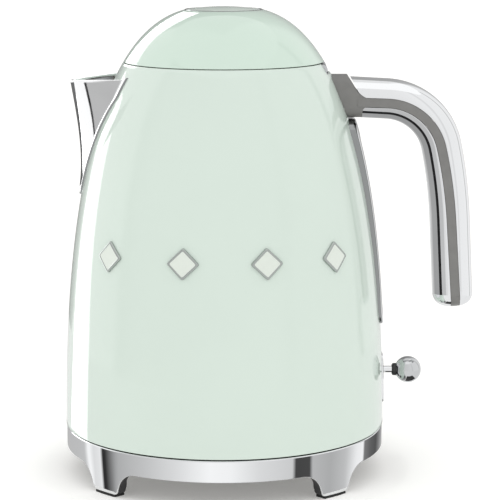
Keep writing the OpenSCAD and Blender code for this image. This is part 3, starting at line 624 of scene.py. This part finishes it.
def make_gauge_frame():
    """Raised frame on the bell between a wide and a narrow rounded outline."""
    wide = rounded_box(GAUGE_HALF, GAUGE_Z0, GAUGE_Z1, 9)
    slim = rounded_box(WINDOW_HALF + 0.8, WINDOW_Z0 - 0.8, WINDOW_Z1 + 0.8, 5)
    section = [(0, -1), (0, -0.9), (0.0, -0.55), (0.03, -0.25), (0.08, -0.08), (0.16, 0),
               (0.5, 0), (0.84, 0), (0.93, -0.1), (0.98, -0.3), (1, -0.6), (1, -0.9), (1, -1)]
    dense_wide, dense_slim = [], []
    for j in range(len(wide)):
        a, b = wide[j], wide[(j + 1) % len(wide)]
        c, d = slim[j], slim[(j + 1) % len(slim)]
        count = max(1, math.ceil((b - a).length / 2.0))
        for k in range(count):
            dense_wide.append(a.lerp(b, k / count))
            dense_slim.append(c.lerp(d, k / count))
    verts = []
    for a, b in zip(dense_wide, dense_slim):
        for share, drop in section:
            p = a.lerp(b, share)
            out = FOOT_GAP if drop == -1 else max(FOOT_GAP, gauge_out(p.y) + drop * FRAME_EDGE)
            verts.append(on_bell(p.x, p.y, out))
    faces = ring_faces(len(dense_wide), len(section))
    # The frame's side walls take the darkened chrome, a painted dark reflection.
    walls = [1 if j < 4 or j > 10 else 0 for j in range(len(section))]
    looks = walls * len(dense_wide)
    add_piece("gauge_frame_skin", verts, faces, [chrome, chrome_painted_dark_reflection], "kettle",
              ["gauge_frame"], looks, sharp=40)


def panel(outline, spine, section, azimuth, out_at):
    """Closed pad on the bell. section is [(share, out)] from its foot to the spine; the last has
    share 1. out_at(z) scales the outs."""
    verts = []
    for share, out in section:
        for p, q in zip(outline, spine):
            at = p.lerp(q, share)
            verts.append(on_bell(at.x, at.y, out_at(at.y, out), azimuth))
    n = len(outline)
    rows = [verts[i * n:(i + 1) * n] for i in range(len(section))]
    return verts, grid(rows)


def make_gauge_window():
    outline = dense(rounded_box(WINDOW_HALF, WINDOW_Z0, WINDOW_Z1, 4.5), 2.0)
    inner_z0, inner_z1 = WINDOW_Z0 + WINDOW_HALF, WINDOW_Z1 - WINDOW_HALF
    spine = [Vector((0, min(inner_z1, max(inner_z0, p.y)))) for p in outline]
    section = [(1, -1.9), (0.9, -1.9), (0, -1.9), (0, -0.8), (0.05, -0.6), (0.12, -0.5),
               (0.5, -0.45), (1, -0.42)]

    def out_at(z, out):
        return -1.9 if out < -1.5 else gauge_out(z) + out

    verts, faces = panel(outline, spine, section, 0, out_at)
    add_piece("gauge_window_pane", verts, faces, [window_plastic], "kettle",
              ["gauge_window"], sharp=50, merge=0.01)


BEZEL_HALF = (high("slot_bezel").y - low("slot_bezel").y) / 2
BEZEL_Z0, BEZEL_Z1 = low("slot_bezel").z, high("slot_bezel").z


def make_slot_bezel():
    wide = rounded_box(BEZEL_HALF, BEZEL_Z0, BEZEL_Z1, 2.4)
    slim = rounded_box(2.6, 42.6, 57, 1.2)
    section = [(0, 0.03), (0, 0.5), (0.08, 0.72), (0.2, 0.8), (0.85, 0.8), (0.95, 0.7), (1, 0.5),
               (1, 0.03)]
    verts = []
    for a, b in zip(wide, slim):
        for share, out in section:
            p = a.lerp(b, share)
            verts.append(on_bell(p.x, p.y, out))
    faces = ring_faces(len(wide), len(section))
    add_piece("slot_bezel_plate", verts, faces, [chrome], "kettle", ["slot_bezel"],
              sharp=40)


# ---------------------------------------------------------------- handle

GRIP_D = 10.6
GRIP_W = 12.0
GRIP_WALL = 1.6
GRIP_START = Vector((72.6, 200.55))
GRIP_H0 = -3
GRIP_RUN = 13.5
BEND_R = 31.4
BEND_TURN = 75.1
SLOW_R = 250
SLOW_TURN = 9.1
GRIP_END_Z = low("handle_core").z
TIP_LEN = 7.5
GRIP_POWER = 2.4
STRIP_HALF = 2.3
SEAM = 0.12
EDGE_ROUND = 0.35


def heading(a):
    return Vector((math.cos(math.radians(a)), math.sin(math.radians(a))))


def outward(a):
    return Vector((-math.sin(math.radians(a)), math.cos(math.radians(a))))


def grip_path():
    """Stations down the grip: (point, heading in degrees, share of the way)."""
    bend_start = GRIP_START + heading(GRIP_H0) * GRIP_RUN
    bend_mid = bend_start - outward(GRIP_H0) * BEND_R
    h1 = GRIP_H0 - BEND_TURN
    slow_start = bend_mid + outward(h1) * BEND_R
    slow_mid = slow_start - outward(h1) * SLOW_R
    h2 = h1 - SLOW_TURN
    down_start = slow_mid + outward(h2) * SLOW_R
    down = (down_start.y - GRIP_END_Z) / -math.sin(math.radians(h2)) - TIP_LEN
    out = [(GRIP_START + heading(GRIP_H0) * GRIP_RUN * k / 5, GRIP_H0, 0.08 * k / 5)
           for k in range(5)]
    for k in range(49):
        a = GRIP_H0 - BEND_TURN * k / 48
        out.append((bend_mid + outward(a) * BEND_R, a, 0.08 + 0.3 * k / 48))
    for k in range(1, 17):
        a = h1 - SLOW_TURN * k / 16
        out.append((slow_mid + outward(a) * SLOW_R, a, 0.38 + 0.28 * k / 16))
    for k in range(1, 17):
        out.append((down_start + heading(h2) * down * k / 16, h2, 0.66 + 0.3 * k / 16))
    return out


def strip_shift(share):
    """The strip sits below the middle of the grip at the top and above it at the end."""
    return -1.7 + 2.5 * share


def oval(a, d, w):
    s, c = math.sin(a), math.cos(a)
    return Vector((d * math.copysign(abs(s) ** (2 / GRIP_POWER), s),
                   w * math.copysign(abs(c) ** (2 / GRIP_POWER), c)))


def oval_angle(u, d):
    return math.copysign(math.asin(min(1, abs(u / d)) ** (GRIP_POWER / 2)), u)


def tip_drop(u, v):
    """How far short of the grip's end the domed tip is, over the section point (u, v)."""
    rho = abs(u / GRIP_D) ** GRIP_POWER + abs(v / GRIP_W) ** GRIP_POWER
    return TIP_LEN * (1 - (1 - min(1, rho)) ** (1 / GRIP_POWER))


def grip_point(station, u, v, along=0.0):
    p = station[0] + outward(station[1]) * u + heading(station[1]) * along
    return (p.x, v, p.y)


def outer_start(u):
    """Where the outer shell begins, along the grip, at section height u."""
    slope = -0.62 * u
    foot = max(0.0, 3.2 - (u - 0.7)) / 3.2
    return slope + 2.6 * foot ** 2


def inner_start(u):
    """Where the inner shell begins; its corner by the strip is round."""
    corner = max(0.0, u + 6.8) / 2.7
    return 0.25 + 2.6 * (1 - math.sqrt(max(0.0, 1 - min(1, corner) ** 2)))


def make_half_shell(name, side, node):
    """One metal half of the grip; side is 1 for the outer half and -1 for the inner one."""
    path = grip_path()
    steps = 40
    tip_steps = 14

    def section(share):
        edge = side * strip_shift(share) + STRIP_HALF + SEAM
        soft = EDGE_ROUND
        a0 = oval_angle(edge + soft, GRIP_D)
        arc = [oval(a0 + (math.pi - 2 * a0) * k / steps, GRIP_D, GRIP_W)
               for k in range(steps + 1)]
        v0 = arc[0].y
        lead = [Vector((edge, v0 - soft)), Vector((edge + 0.1, v0 - 0.1))]
        tail = [Vector((p.x, -p.y)) for p in reversed(lead)]
        a1 = oval_angle(edge, GRIP_D - GRIP_WALL)
        back = [oval(a1 + (math.pi - 2 * a1) * k / 20, GRIP_D - GRIP_WALL, GRIP_W - GRIP_WALL)
                for k in range(20, -1, -1)]
        return lead + arc + tail, back

    verts = []
    n_out, n_back = (len(part) for part in section(0))
    n = n_out + n_back
    start = outer_start if side > 0 else inner_start
    for i, station in enumerate(path):
        outer, back = section(station[2])
        blend = max(0.0, 1 - i / 4)
        for p in outer + back:
            u = side * p.x
            along = start(u) * blend
            verts.append(grip_point(station, u, p.y, along))
    rows = len(path)
    faces = tube_faces(rows, n)
    faces.append(tuple(range(n)))
    # Domed tip over the outer outline, shrinking towards the seam's middle
    last = path[-1]
    outer, back = section(last[2])
    centre = Vector((outer[0].x, 0))
    base = (rows - 1) * n
    previous = [base + j for j in range(n_out)]
    for k in range(1, tip_steps + 1):
        shrink = math.cos(math.pi / 2 * k / tip_steps)
        row = []
        for p in outer:
            q = centre + (p - centre) * shrink
            verts.append(grip_point(last, side * q.x, q.y, TIP_LEN - tip_drop(q.x, q.y)))
            row.append(len(verts) - 1)
        for j in range(n_out - 1):
            faces.append((previous[j], previous[j + 1], row[j + 1], row[j]))
        previous = row
    # Flat seam face of the tip, and the inside end
    left = [base] + [base + n + n_out * k for k in range(tip_steps)]
    right = [base + n_out - 1] + [base + n + n_out * (k + 1) - 1 for k in range(tip_steps)]
    faces.append(tuple(left + right[::-1][1:] + [base + n_out, base + n - 1]))
    faces.append(tuple(base + n_out + j for j in range(n_back)))
    add_piece(name, verts, faces, [chrome], "kettle", [node], sharp=35, merge=0.002)


def make_grip_core():
    """Grey slab between the two shells; its edges show as the side strips."""
    path = grip_path()
    across = 24
    width = GRIP_W - 0.18

    def rows_at(share):
        c = strip_shift(share)
        return c + STRIP_HALF, c - STRIP_HALF

    verts = []
    vs = [width * math.cos(math.pi * k / across) for k in range(across + 1)]
    n = 2 * (across + 1)
    for i, station in enumerate(path):
        hi, lo = rows_at(station[2])
        lead = 0.0 if i else -2.2
        for v in vs:
            verts.append(grip_point(station, hi, v, lead))
        for v in reversed(vs):
            verts.append(grip_point(station, lo, v, lead))
    rows = len(path)
    faces = tube_faces(rows, n)
    faces.append(tuple(range(n)))
    last = path[-1]
    hi, lo = rows_at(last[2])
    levels = [hi + (lo - hi) * k / 6 for k in range(7)]
    grid_rows = []
    for u in levels:
        row = []
        for v in vs:
            verts.append(grip_point(last, u, v, TIP_LEN - tip_drop(u, v) - 0.1))
            row.append(len(verts) - 1)
        grid_rows.append(row)
    for a, b in zip(grid_rows, grid_rows[1:]):
        faces += [(a[j], a[j + 1], b[j + 1], b[j]) for j in range(across)]
    base = (rows - 1) * n
    top = [base + j for j in range(across + 1)]
    bottom = [base + n - 1 - j for j in range(across + 1)]
    faces += [(top[j], top[j + 1], grid_rows[0][j + 1], grid_rows[0][j]) for j in range(across)]
    faces += [(bottom[j], bottom[j + 1], grid_rows[-1][j + 1], grid_rows[-1][j])
              for j in range(across)]
    for j in (0, across):
        column = [row[j] for row in grid_rows]
        faces.append(tuple([top[j]] + column + [bottom[j]]))
    add_piece("grip_core", verts, faces, [grey_plastic], "kettle",
              ["handle_core"], sharp=35, merge=0.002)


def make_handle_block():
    """Grey block from the bell to the start of the grip's shells."""
    z0, z1 = low("handle_block").z, high("handle_block").z
    mid, depth = (z0 + z1) / 2, (z1 - z0) / 2
    half = high("handle_block").y

    def end_x(z):
        u = z - GRIP_START.y
        if u >= 0.7:
            return GRIP_START.x + outer_start(u) - 0.18
        if u <= -4.1:
            return GRIP_START.x + inner_start(u) - 0.18
        return GRIP_START.x + 3.0

    ring = []
    count = 96
    for k in range(count):
        a = 2 * math.pi * k / count
        s, c = math.sin(a), math.cos(a)
        ring.append(Vector((half * math.copysign(abs(c) ** 0.42, c),
                            mid + depth * math.copysign(abs(s) ** 0.6, s))))
    verts = []
    columns = 10
    for k in range(columns + 1):
        t = k / columns
        for p in ring:
            x0 = math.sqrt(bell_r(p.y) ** 2 - p.x ** 2) + 0.05
            x1 = end_x(p.y)
            verts.append((x0 + (x1 - x0) * t, p.x, p.y))
    faces = tube_faces(columns + 1, count)
    faces.append(tuple(range(count)))
    # The face towards the shells follows end_x, so it closes in rings that shrink across Y
    previous = [columns * count + j for j in range(count)]
    for k in range(1, 6):
        shrink = 1 - k / 5 * 0.999
        row = []
        for p in ring:
            verts.append((end_x(p.y), p.x * shrink, p.y))
            row.append(len(verts) - 1)
        for j in range(count):
            m = (j + 1) % count
            faces.append((previous[j], previous[m], row[m], row[j]))
        previous = row
    add_piece("handle_block_skin", verts, faces, [grey_plastic], "kettle",
              ["handle_block"], sharp=40, merge=0.03)


# ---------------------------------------------------------------- lever

LEVER_Z = (low("lever_ball").z + high("lever_ball").z) / 2
BALL_R = (high("lever_ball").z - low("lever_ball").z) / 2
BALL_X = high("lever_ball").x - BALL_R


def lathe_x(profile, z, segments=96):
    """Solid of revolution about the X axis at height z, from (x, r) points."""
    verts = []
    for i in range(segments):
        a = 2 * math.pi * i / segments
        verts += [(x, r * math.cos(a), z + r * math.sin(a)) for x, r in profile]
    return verts, ring_faces(segments, len(profile))


def make_lever_ball():
    flat = low("lever_ball").x
    a0 = math.acos((flat - BALL_X) / BALL_R)
    arc = []
    for k in range(61):
        a = a0 * (1 - k / 60)
        arc.append((BALL_X + BALL_R * math.cos(a), BALL_R * math.sin(a)))
    arc[-1] = (BALL_X + BALL_R, 0)
    profile = [(flat, 0), (flat, arc[0][1] - 0.25)] + arc
    verts, faces = lathe_x(profile, LEVER_Z)
    # The ball takes the darkened chrome, a painted dark reflection.
    add_piece("lever_ball_knob", verts, faces, [ball_chrome_painted_dark_reflection], "lever", ["lever_ball"])


def make_lever_collar():
    x0, x1 = low("lever_collar").x, high("lever_collar").x
    profile = rounded([(x0, 1.87), (x0, 2.5), (x0 + 0.5, 3.25), (x1, 3.4), (x1, 1.87)],
                      [0, 0.3, 0.3, 0.2, 0])
    verts, faces = lathe_x([tuple(p) for p in profile], LEVER_Z)
    add_piece("lever_collar_ring", verts, faces, [dark_plastic], "lever",
              ["lever_collar"])


# ---------------------------------------------------------------- base skirt with feet

SKIRT_R = high("base_ring").x
SKIRT_Z1 = high("base_ring").z
SKIRT_Z0 = 13.7
SKIRT_IN = 81.8
FOOT_Z0 = low("base_ring").z
FOOT_HALF = 10.0
FOOT_FILLET = 12.0
FOOT_ANGLE = 44.7
BASE_TURN = -1.6
FOOT_IN = 77.6


def skirt_edge():
    """The skirt's lower edge round the base, as (angle in radians, height), all the way round."""
    feet = [a + BASE_TURN for a in (FOOT_ANGLE, 180 - FOOT_ANGLE, 180 + FOOT_ANGLE,
                                    360 - FOOT_ANGLE)]
    reach = FOOT_HALF + FOOT_FILLET
    foot = []
    soft = 2.8
    for k in range(21):
        a = math.radians(90 * k / 20)
        foot.append((-reach + FOOT_FILLET * math.sin(a),
                     SKIRT_Z0 - FOOT_FILLET + FOOT_FILLET * math.cos(a)))
    foot = [(t, z) for t, z in foot if z > FOOT_Z0 + soft]
    for k in range(9):
        a = math.radians(90 * k / 8)
        foot.append((-FOOT_HALF + soft - soft * math.cos(a), FOOT_Z0 + soft - soft * math.sin(a)))
    foot += [(t, FOOT_Z0) for t in (-5, -2.5, 0)]
    foot += [(-t, z) for t, z in reversed(foot[:-1])]
    out = []
    for i, middle in enumerate(feet):
        out += [(math.radians(middle) + t / SKIRT_R, z) for t, z in foot]
        gap_start = math.radians(middle) + reach / SKIRT_R
        after = feet[(i + 1) % 4] + (360 if i == 3 else 0)
        gap_end = math.radians(after) - reach / SKIRT_R
        count = max(4, round((gap_end - gap_start) / 0.04))
        out += [(gap_start + (gap_end - gap_start) * k / count, SKIRT_Z0)
                for k in range(1, count)]
    return out


def make_base_skirt():
    """Chrome skirt: outer face, softened lower edge that runs down round the feet, inner face."""
    edge = skirt_edge()
    count = len(edge)
    soft = 0.7
    normals = []
    for i in range(count):
        a0, z0 = edge[i - 1]
        a1, z1 = edge[(i + 1) % count]
        da = (a1 - a0) % (2 * math.pi) if (a1 - a0) < -math.pi else a1 - a0
        tangent = Vector((da * SKIRT_R, z1 - z0)).normalized()
        normals.append(Vector((-tangent.y, tangent.x)))
    verts = []
    for i, (a, z) in enumerate(edge):
        up = normals[i]
        depth = (SKIRT_Z0 - z) / (SKIRT_Z0 - FOOT_Z0)
        inner = SKIRT_IN + (FOOT_IN - SKIRT_IN) * min(1, depth * 1.6)
        outer = SKIRT_R - 0.6 * max(0, depth)
        top = SKIRT_Z1

        def point(r, rise):
            at = Vector((a * SKIRT_R, z)) + up * rise
            angle = at.x / SKIRT_R
            return (r * math.cos(angle), r * math.sin(angle), max(at.y, z if rise <= 0 else FOOT_Z0))

        def flat(r, height):
            return (r * math.cos(a), r * math.sin(a), height)

        column = [flat(SKIRT_IN + 0.6, top - 0.05), flat(SKIRT_R - 1.2, top),
                  flat(SKIRT_R - 0.62, top - 0.06), flat(SKIRT_R - 0.25, top - 0.26),
                  flat(SKIRT_R - 0.06, top - 0.6), flat(SKIRT_R, top - 1.1),
                  flat(SKIRT_R, top - 4)]
        column += [point(outer, soft), point(outer - 0.06, soft * 0.6),
                   point(outer - 0.22, soft * 0.26), point(outer - 0.5, soft * 0.04),
                   point(outer - 0.8, 0), point(inner + 0.4, 0), point(inner, 0.4)]
        column += [flat(SKIRT_IN, SKIRT_Z0 + 1.5), flat(SKIRT_IN, top - 0.5)]
        verts += column
    faces = ring_faces(count, len(column))
    # The underside and inner lower edge of the chrome skirt, round the feet, are coloured black:
    # painted shade.
    looks = [1 if 11 <= j <= 13 else 0 for j in range(len(column))] * count
    add_piece("base_skirt", verts, faces, [band_chrome, dark_plastic], "base",
              ["base_ring"], looks, sharp=40)


# ---------------------------------------------------------------- emblems

def make_emblems():
    """Plain chrome lozenges: a pale coated face that is a painted reflection of the chrome, on a
    bevelled chrome edge darkened as a painted dark reflection.
    """
    z_mid = (low("body_emblems").z + high("body_emblems").z) / 2
    half_h = (high("body_emblems").z - low("body_emblems").z) / 2
    half_w = 8.6
    corners = [(half_w, z_mid), (0, z_mid + half_h), (-half_w, z_mid), (0, z_mid - half_h)]
    outline = dense(rounded(corners, 1.2, 6), 1.2)
    spine = [Vector((0, z_mid))] * len(outline)
    section = [(0.9, 0.03), (0, 0.03), (0, 0.9), (0.03, 1.2), (0.07, 1.38), (0.12, 1.42),
               (0.17, 1.38), (0.19, 1.25), (0.22, 1.22), (0.6, 1.24), (1, 1.25)]
    verts, faces, looks = [], [], []
    for side in (0, 180):
        for azimuth in (224, 255.7, 286.2, 315.2):
            v, f = panel(outline, spine, section, math.radians(azimuth + side),
                         lambda z, out: out)
            first = len(verts)
            verts += v
            faces += [tuple(first + i for i in face) for face in f]
            n = len(outline)
            # The top face takes the pale painted reflection; the bevel and the foot take the
            # darkened chrome.
            looks += [1 if i // n >= 7 else 0 for i in range(len(f))]
            faces.append(tuple(first + j for j in range(n)))
            looks.append(0)
    add_piece("emblem_lozenges", verts, faces, [emblem_chrome_painted_dark_reflection, emblem_face_painted_reflection], "kettle",
              ["body_emblems"], looks, sharp=40, merge=0.005)


make_body_shell()
make_lid_dome()
make_button()
make_button_bezel()
make_spout_beak()
make_spout_flange()
make_gauge_frame()
make_gauge_window()
make_slot_bezel()
make_half_shell("grip_outer_shell", 1, "handle_outer_shell")
make_half_shell("grip_inner_shell", -1, "handle_inner_shell")
make_grip_core()
make_handle_block()
make_lever_ball()
make_lever_collar()
make_base_skirt()
make_emblems()

for name, look in (("power_lever", chrome), ("lid_button", button_enamel)):
    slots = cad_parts[name].data.materials
    slots.clear()
    slots.append(look)


# ---------------------------------------------------------------- studio

RAMP_TOP = 4  # a ramp's greys end at 1, so its light is this much stronger


def ramp_node(nodes, links, value, stops):
    """Colour ramp over an angle in radians; stops are (degrees, grey)."""
    spread = nodes.new("ShaderNodeMapRange")
    spread.inputs["From Min"].default_value = -math.pi
    spread.inputs["From Max"].default_value = math.pi
    links.new(value, spread.inputs["Value"])
    ramp = nodes.new("ShaderNodeValToRGB")
    elements = ramp.color_ramp.elements
    while len(elements) < len(stops):
        elements.new(0.5)
    for element, (degrees, grey) in zip(elements, stops):
        element.position = (degrees + 180) / 360
        element.color = (grey / RAMP_TOP, grey / RAMP_TOP, grey / RAMP_TOP, 1)
    links.new(spread.outputs[0], ramp.inputs["Fac"])
    return ramp.outputs["Color"]


def azimuth_node(nodes, links, vector):
    """Angle about the kettle's axis: 0 towards the front, negative on the spout's side."""
    split = nodes.new("ShaderNodeSeparateXYZ")
    links.new(vector, split.inputs[0])
    flip = nodes.new("ShaderNodeMath")
    flip.operation = "MULTIPLY"
    flip.inputs[1].default_value = -1
    links.new(split.outputs[1], flip.inputs[0])
    angle = nodes.new("ShaderNodeMath")
    angle.operation = "ARCTAN2"
    links.new(split.outputs[0], angle.inputs[0])
    links.new(flip.outputs[0], angle.inputs[1])
    return angle.outputs[0]


def make_floor():
    """Pale table with a faint glow of its own, as of a lit sheet."""
    size = 7.0
    steps = [-size, -2, -1, -0.4, 0.4, 1, 2, size]
    mesh = bpy.data.meshes.new("studio_floor")
    mesh.from_pydata([(x, y, 0) for y in steps for x in steps], [],
                     grid([[(x, y) for x in steps] for y in steps], loop=False))
    obj = bpy.data.objects.new("studio_floor", mesh)
    scene.collection.objects.link(obj)
    paint = surface("studio_paint", (0.80, 0.80, 0.79), vary=0.003, rough=(0.7, 0.8),
                    color_scale=4, Emission_Strength=0.24, Emission_Color=(1.0, 0.99, 0.95, 1))
    mesh.materials.append(paint)


def mirror_only(name, mesh):
    """Stages a mesh that only mirror rays can see."""
    obj = bpy.data.objects.new(name, mesh)
    scene.collection.objects.link(obj)
    obj.visible_camera = False
    obj.visible_diffuse = False
    obj.visible_transmission = False
    obj.visible_shadow = False


def reflector(name, profile, stops, segments=96):
    """A glowing card on a lathe profile (r, z) in metres that only mirror rays can see."""
    verts = []
    for i in range(segments):
        a = 2 * math.pi * i / segments
        verts += [(r * math.cos(a), r * math.sin(a), z) for r, z in profile]
    n, faces = len(profile), []
    for i in range(segments):
        k = (i + 1) % segments
        faces += [(i * n + j, k * n + j, k * n + j + 1, i * n + j + 1) for j in range(n - 1)]
    mesh = bpy.data.meshes.new(name)
    mesh.from_pydata(verts, [], faces)
    mat = bpy.data.materials.new(name)
    mat.use_nodes = True
    nodes, links = mat.node_tree.nodes, mat.node_tree.links
    nodes.clear()
    out = nodes.new("ShaderNodeOutputMaterial")
    shine = nodes.new("ShaderNodeEmission")
    coord = nodes.new("ShaderNodeTexCoord")
    angle = azimuth_node(nodes, links, coord.outputs["Object"])
    links.new(ramp_node(nodes, links, angle, stops), shine.inputs["Color"])
    shine.inputs["Strength"].default_value = RAMP_TOP
    links.new(shine.outputs[0], out.inputs[0])
    mesh.materials.append(mat)
    mirror_only(name, mesh)


def glow(name, dark, light):
    """Light from a card, with a faint cloud in it."""
    mat = bpy.data.materials.new(name)
    mat.use_nodes = True
    nodes, links = mat.node_tree.nodes, mat.node_tree.links
    nodes.clear()
    out = nodes.new("ShaderNodeOutputMaterial")
    shine = nodes.new("ShaderNodeEmission")
    cloud = noise_node(nodes, links, 18, 1.0)
    links.new(mix_color(nodes, links, cloud, [dark] * 3, [light] * 3), shine.inputs["Color"])
    links.new(shine.outputs[0], out.inputs[0])
    return mat


def card(name, rows, looks, bands=None):
    """A card through rows of points in millimetres that only mirror rays can see.

    bands gives the look of each strip between two neighbouring columns.
    """
    n = len(rows[0])
    mesh = bpy.data.meshes.new(name)
    mesh.from_pydata([tuple(Vector(p) * MM) for row in rows for p in row], [],
                     grid(rows, loop=False))
    for look in looks:
        mesh.materials.append(look)
    if bands:
        for i, face in enumerate(mesh.polygons):
            face.material_index = bands[i % (n - 1)]
    mirror_only(name, mesh)


def mirrored(at, along, across, away):
    """The point the camera sees mirrored at a surface point with these two tangents."""
    normal = along.cross(across).normalized()
    sight = (at - Vector(CAMERA_AT) / MM).normalized()
    return at + (sight - 2 * sight.dot(normal) * normal) * away


def beak_line(t):
    """Where across the beak the dark line in its face runs, at share t of the height."""
    return max(-1, -0.165 - 2.5 * math.exp(-2.38 * t))


def keel_line(t):
    """How far across the beak the dark line along its keel reaches, at share t of the height."""
    return max(-0.96, 0.14 * t - 0.31 - 1.18 * math.exp(-8.3 * t))


def beak_mirror(t, s, away=20):
    def at(dt, ds):
        return Vector(beak_point(t + dt, s + ds, 0))
    return mirrored(at(0, 0), at(0.002, 0) - at(-0.002, 0), at(0, 0.002) - at(0, -0.002), away)


def beak_cards():
    """A grey card with a black edge for the beak's face and a dark one for its keel."""
    rows = []
    for k in range(28):
        t = 0.455 + (0.988 - 0.455) * k / 27
        start = beak_line(t)
        edge = start - 0.034 - 0.03 * (1 - t)
        spread = [start + 0.012, start - 0.01, edge]
        spread += [edge + (min(edge, -0.996) - edge) * j / 8 for j in range(1, 9)]
        rows.append([beak_mirror(t, s) for s in spread])
    card("studio_beak_card", rows, [rubber, glow("beak_glow", 0.46, 0.56)], [0, 0] + [1] * 8)
    rows = []
    for k in range(34):
        t = 0.03 + (0.99 - 0.03) * k / 33
        start = keel_line(t)
        rows.append([beak_mirror(t, start * (1 - j / 8) - 0.004, 9) for j in range(9)])
    card("studio_keel_card", rows, [glow("keel_glow", 0.11, 0.17)])


def grip_cards():
    """Grey card with a black line for the inner half of the grip."""
    rows = []
    turns = [89, 78, 66, 55, 47, 42.5, 41, 31.5, 29, 24, 19, 13]
    before = GRIP_START - heading(GRIP_H0) * 4
    for station in [(before, GRIP_H0, 0)] + grip_path():
        def at(turn, along=0.0):
            a = math.radians(turn)
            u = -GRIP_D * math.sin(a) ** (2 / GRIP_POWER)
            v = -GRIP_W * math.cos(a) ** (2 / GRIP_POWER)
            return Vector(grip_point(station, u, v, along))
        rows.append([mirrored(at(turn), at(turn, 0.1) - at(turn, -0.1),
                              at(turn + 0.2) - at(turn - 0.2), 6) for turn in turns])
    looks = [glow("grip_glow_low", 0.36, 0.44), rubber, glow("grip_glow_mid", 0.55, 0.62),
             glow("grip_glow_high", 0.8, 0.86)]
    card("studio_grip_card", rows, looks, [3, 2, 0, 0, 0, 0, 1, 2, 2, 2, 3])


def ball_shade_card():
    """Dark sheet on the table under the lever's ball, seen only by mirror rays: painted shade for
    the ball's lower reflection.
    """
    rows = [[(x, y, 1.6) for y in (-42, -10, 22)] for x in (90, 110, 140)]
    card("studio_ball_shade_card", rows, [glow("ball_glow", 0.05, 0.08)])


def lid_card():
    """Bright card for the long curved highlight on the left of the lid."""
    def at(z, turn):
        a = math.radians(turn)
        return Vector((bell_r(z) * math.sin(a), -bell_r(z) * math.cos(a), z))

    rows = []
    for k in range(25):
        z = 220.5 + 25.5 * k / 24
        share = max(0, (z - 222) / 24)
        start, end = -76.5 + 10.5 * share ** 1.5, -58 + 25 * share ** 3
        turns = [start + (end - start) * j / 8 for j in range(9)]
        rows.append([mirrored(at(z, turn), at(z + 0.02, turn) - at(z - 0.02, turn),
                              at(z, turn + 0.1) - at(z, turn - 0.1), 120) for turn in turns])
    card("studio_lid_card", rows, [glow("lid_glow", 3.1, 3.3)])


WALL_R = 600
STRIP_LEFT, STRIP_RIGHT = -135, -108


def strip_lag(r):
    """How far a mirror ray from the body turns about the axis between radius r and the wall."""
    near = 69.3
    return math.degrees(math.asin(near / r) - math.asin(near / WALL_R))


def strip_light():
    """Tall bright strip on the spout's side, for the long highlight on the enamel."""
    across = 7
    path = [(r, 1.5, STRIP_LEFT + strip_lag(r), STRIP_RIGHT + strip_lag(r))
            for r in (150, 200, 300, 440, 590)]
    path += [(WALL_R - 5, z, STRIP_LEFT - 0.0055 * z, STRIP_RIGHT - 0.0264 * z)
             for z in (2, 120, 250, 360)]
    rows = []
    for r, z, left, right in path:
        turns = [math.radians(left + (right - left) * k / (across - 1)) for k in range(across)]
        rows.append([(r * math.sin(a), -r * math.cos(a), z) for a in turns])
    card("studio_strip", rows, [glow("strip_glow", 3.1, 3.3)])


def make_world():
    """Soft white studio light from all round, a little dimmer at the back."""
    world = bpy.data.worlds.new("studio")
    scene.world = world
    world.use_nodes = True
    nodes, links = world.node_tree.nodes, world.node_tree.links
    background = nodes["Background"]
    coord = nodes.new("ShaderNodeTexCoord")
    angle = azimuth_node(nodes, links, coord.outputs["Generated"])
    links.new(ramp_node(nodes, links, angle, WORLD_STOPS), background.inputs["Color"])
    background.inputs["Strength"].default_value = RAMP_TOP


def make_camera():
    """A long lens a little above the handle's height, looking along +Y."""
    data = bpy.data.cameras.new("camera")
    data.sensor_width = 36
    data.lens = 154.1
    data.clip_end = 50
    obj = bpy.data.objects.new("camera", data)
    obj.location = CAMERA_AT
    obj.rotation_euler = (math.radians(90) - 0.17, 0, 0)
    scene.collection.objects.link(obj)
    scene.camera = obj


CAMERA_AT = (0.01376, -1.12836, 0.31223)
WORLD_STOPS = [(-180, 0.9), (-150, 0.9), (-116, 1.16), (-60, 1.16), (150, 1.16), (160, 0.9),
               (180, 0.9)]
WALL_STOPS = [(-180, 0.3), (-156, 0.32), (-141, 0.5), (-136, 1.2), (-82, 1.1), (-75, 0.62),
              (-60, 0.8), (0, 0.9), (38, 0.98), (46, 0.8), (52, 0.98), (106, 1.0), (111, 0.45),
              (116, 1.0), (140, 0.95), (152, 0.5), (180, 0.35)]
TABLE_STOPS = [(-180, 0.6), (-140, 0.9), (-60, 0.95), (0, 0.95), (60, 0.95), (140, 0.9),
               (180, 0.6)]
NEAR_STOPS = [(-180, 0.5), (-97, 0.5), (-64, 0.62), (-61, 0.66), (-59.8, 1.1), (-57, 1.1),
              (-55.5, 0.86), (-51, 0.95), (-49.9, 1.05), (-49.6, 0.03), (-47.8, 0.04),
              (-45.8, 0.16), (-43.6, 0.33), (-41.3, 0.5), (-37, 0.56), (-29, 0.66), (-15.8, 0.88),
              (-4.4, 1.12), (2.7, 1.08), (12.5, 0.85), (26, 0.72), (26.3, 0.07), (32.6, 0.08),
              (32.9, 0.58), (42, 0.5), (50, 0.62), (57, 1.0), (62.5, 1.08),
              (62.8, 0.24), (69, 0.14), (76, 0.1), (90, 0.45)]
make_floor()
make_world()
make_camera()
reflector("studio_wall", [(0.45, 0.001), (0.6, 0.001), (0.6, 0.9)], WALL_STOPS)
reflector("studio_table", [(0.1, 0.001), (0.2, 0.001), (0.45, 0.001)], TABLE_STOPS)
reflector("studio_near", [(0.0875, 0.0008), (0.0875, 0.012), (0.0875, 0.0248)], NEAR_STOPS)
grip_cards()
beak_cards()
ball_shade_card()
lid_card()
strip_light()
scene.view_settings.view_transform = "Standard"
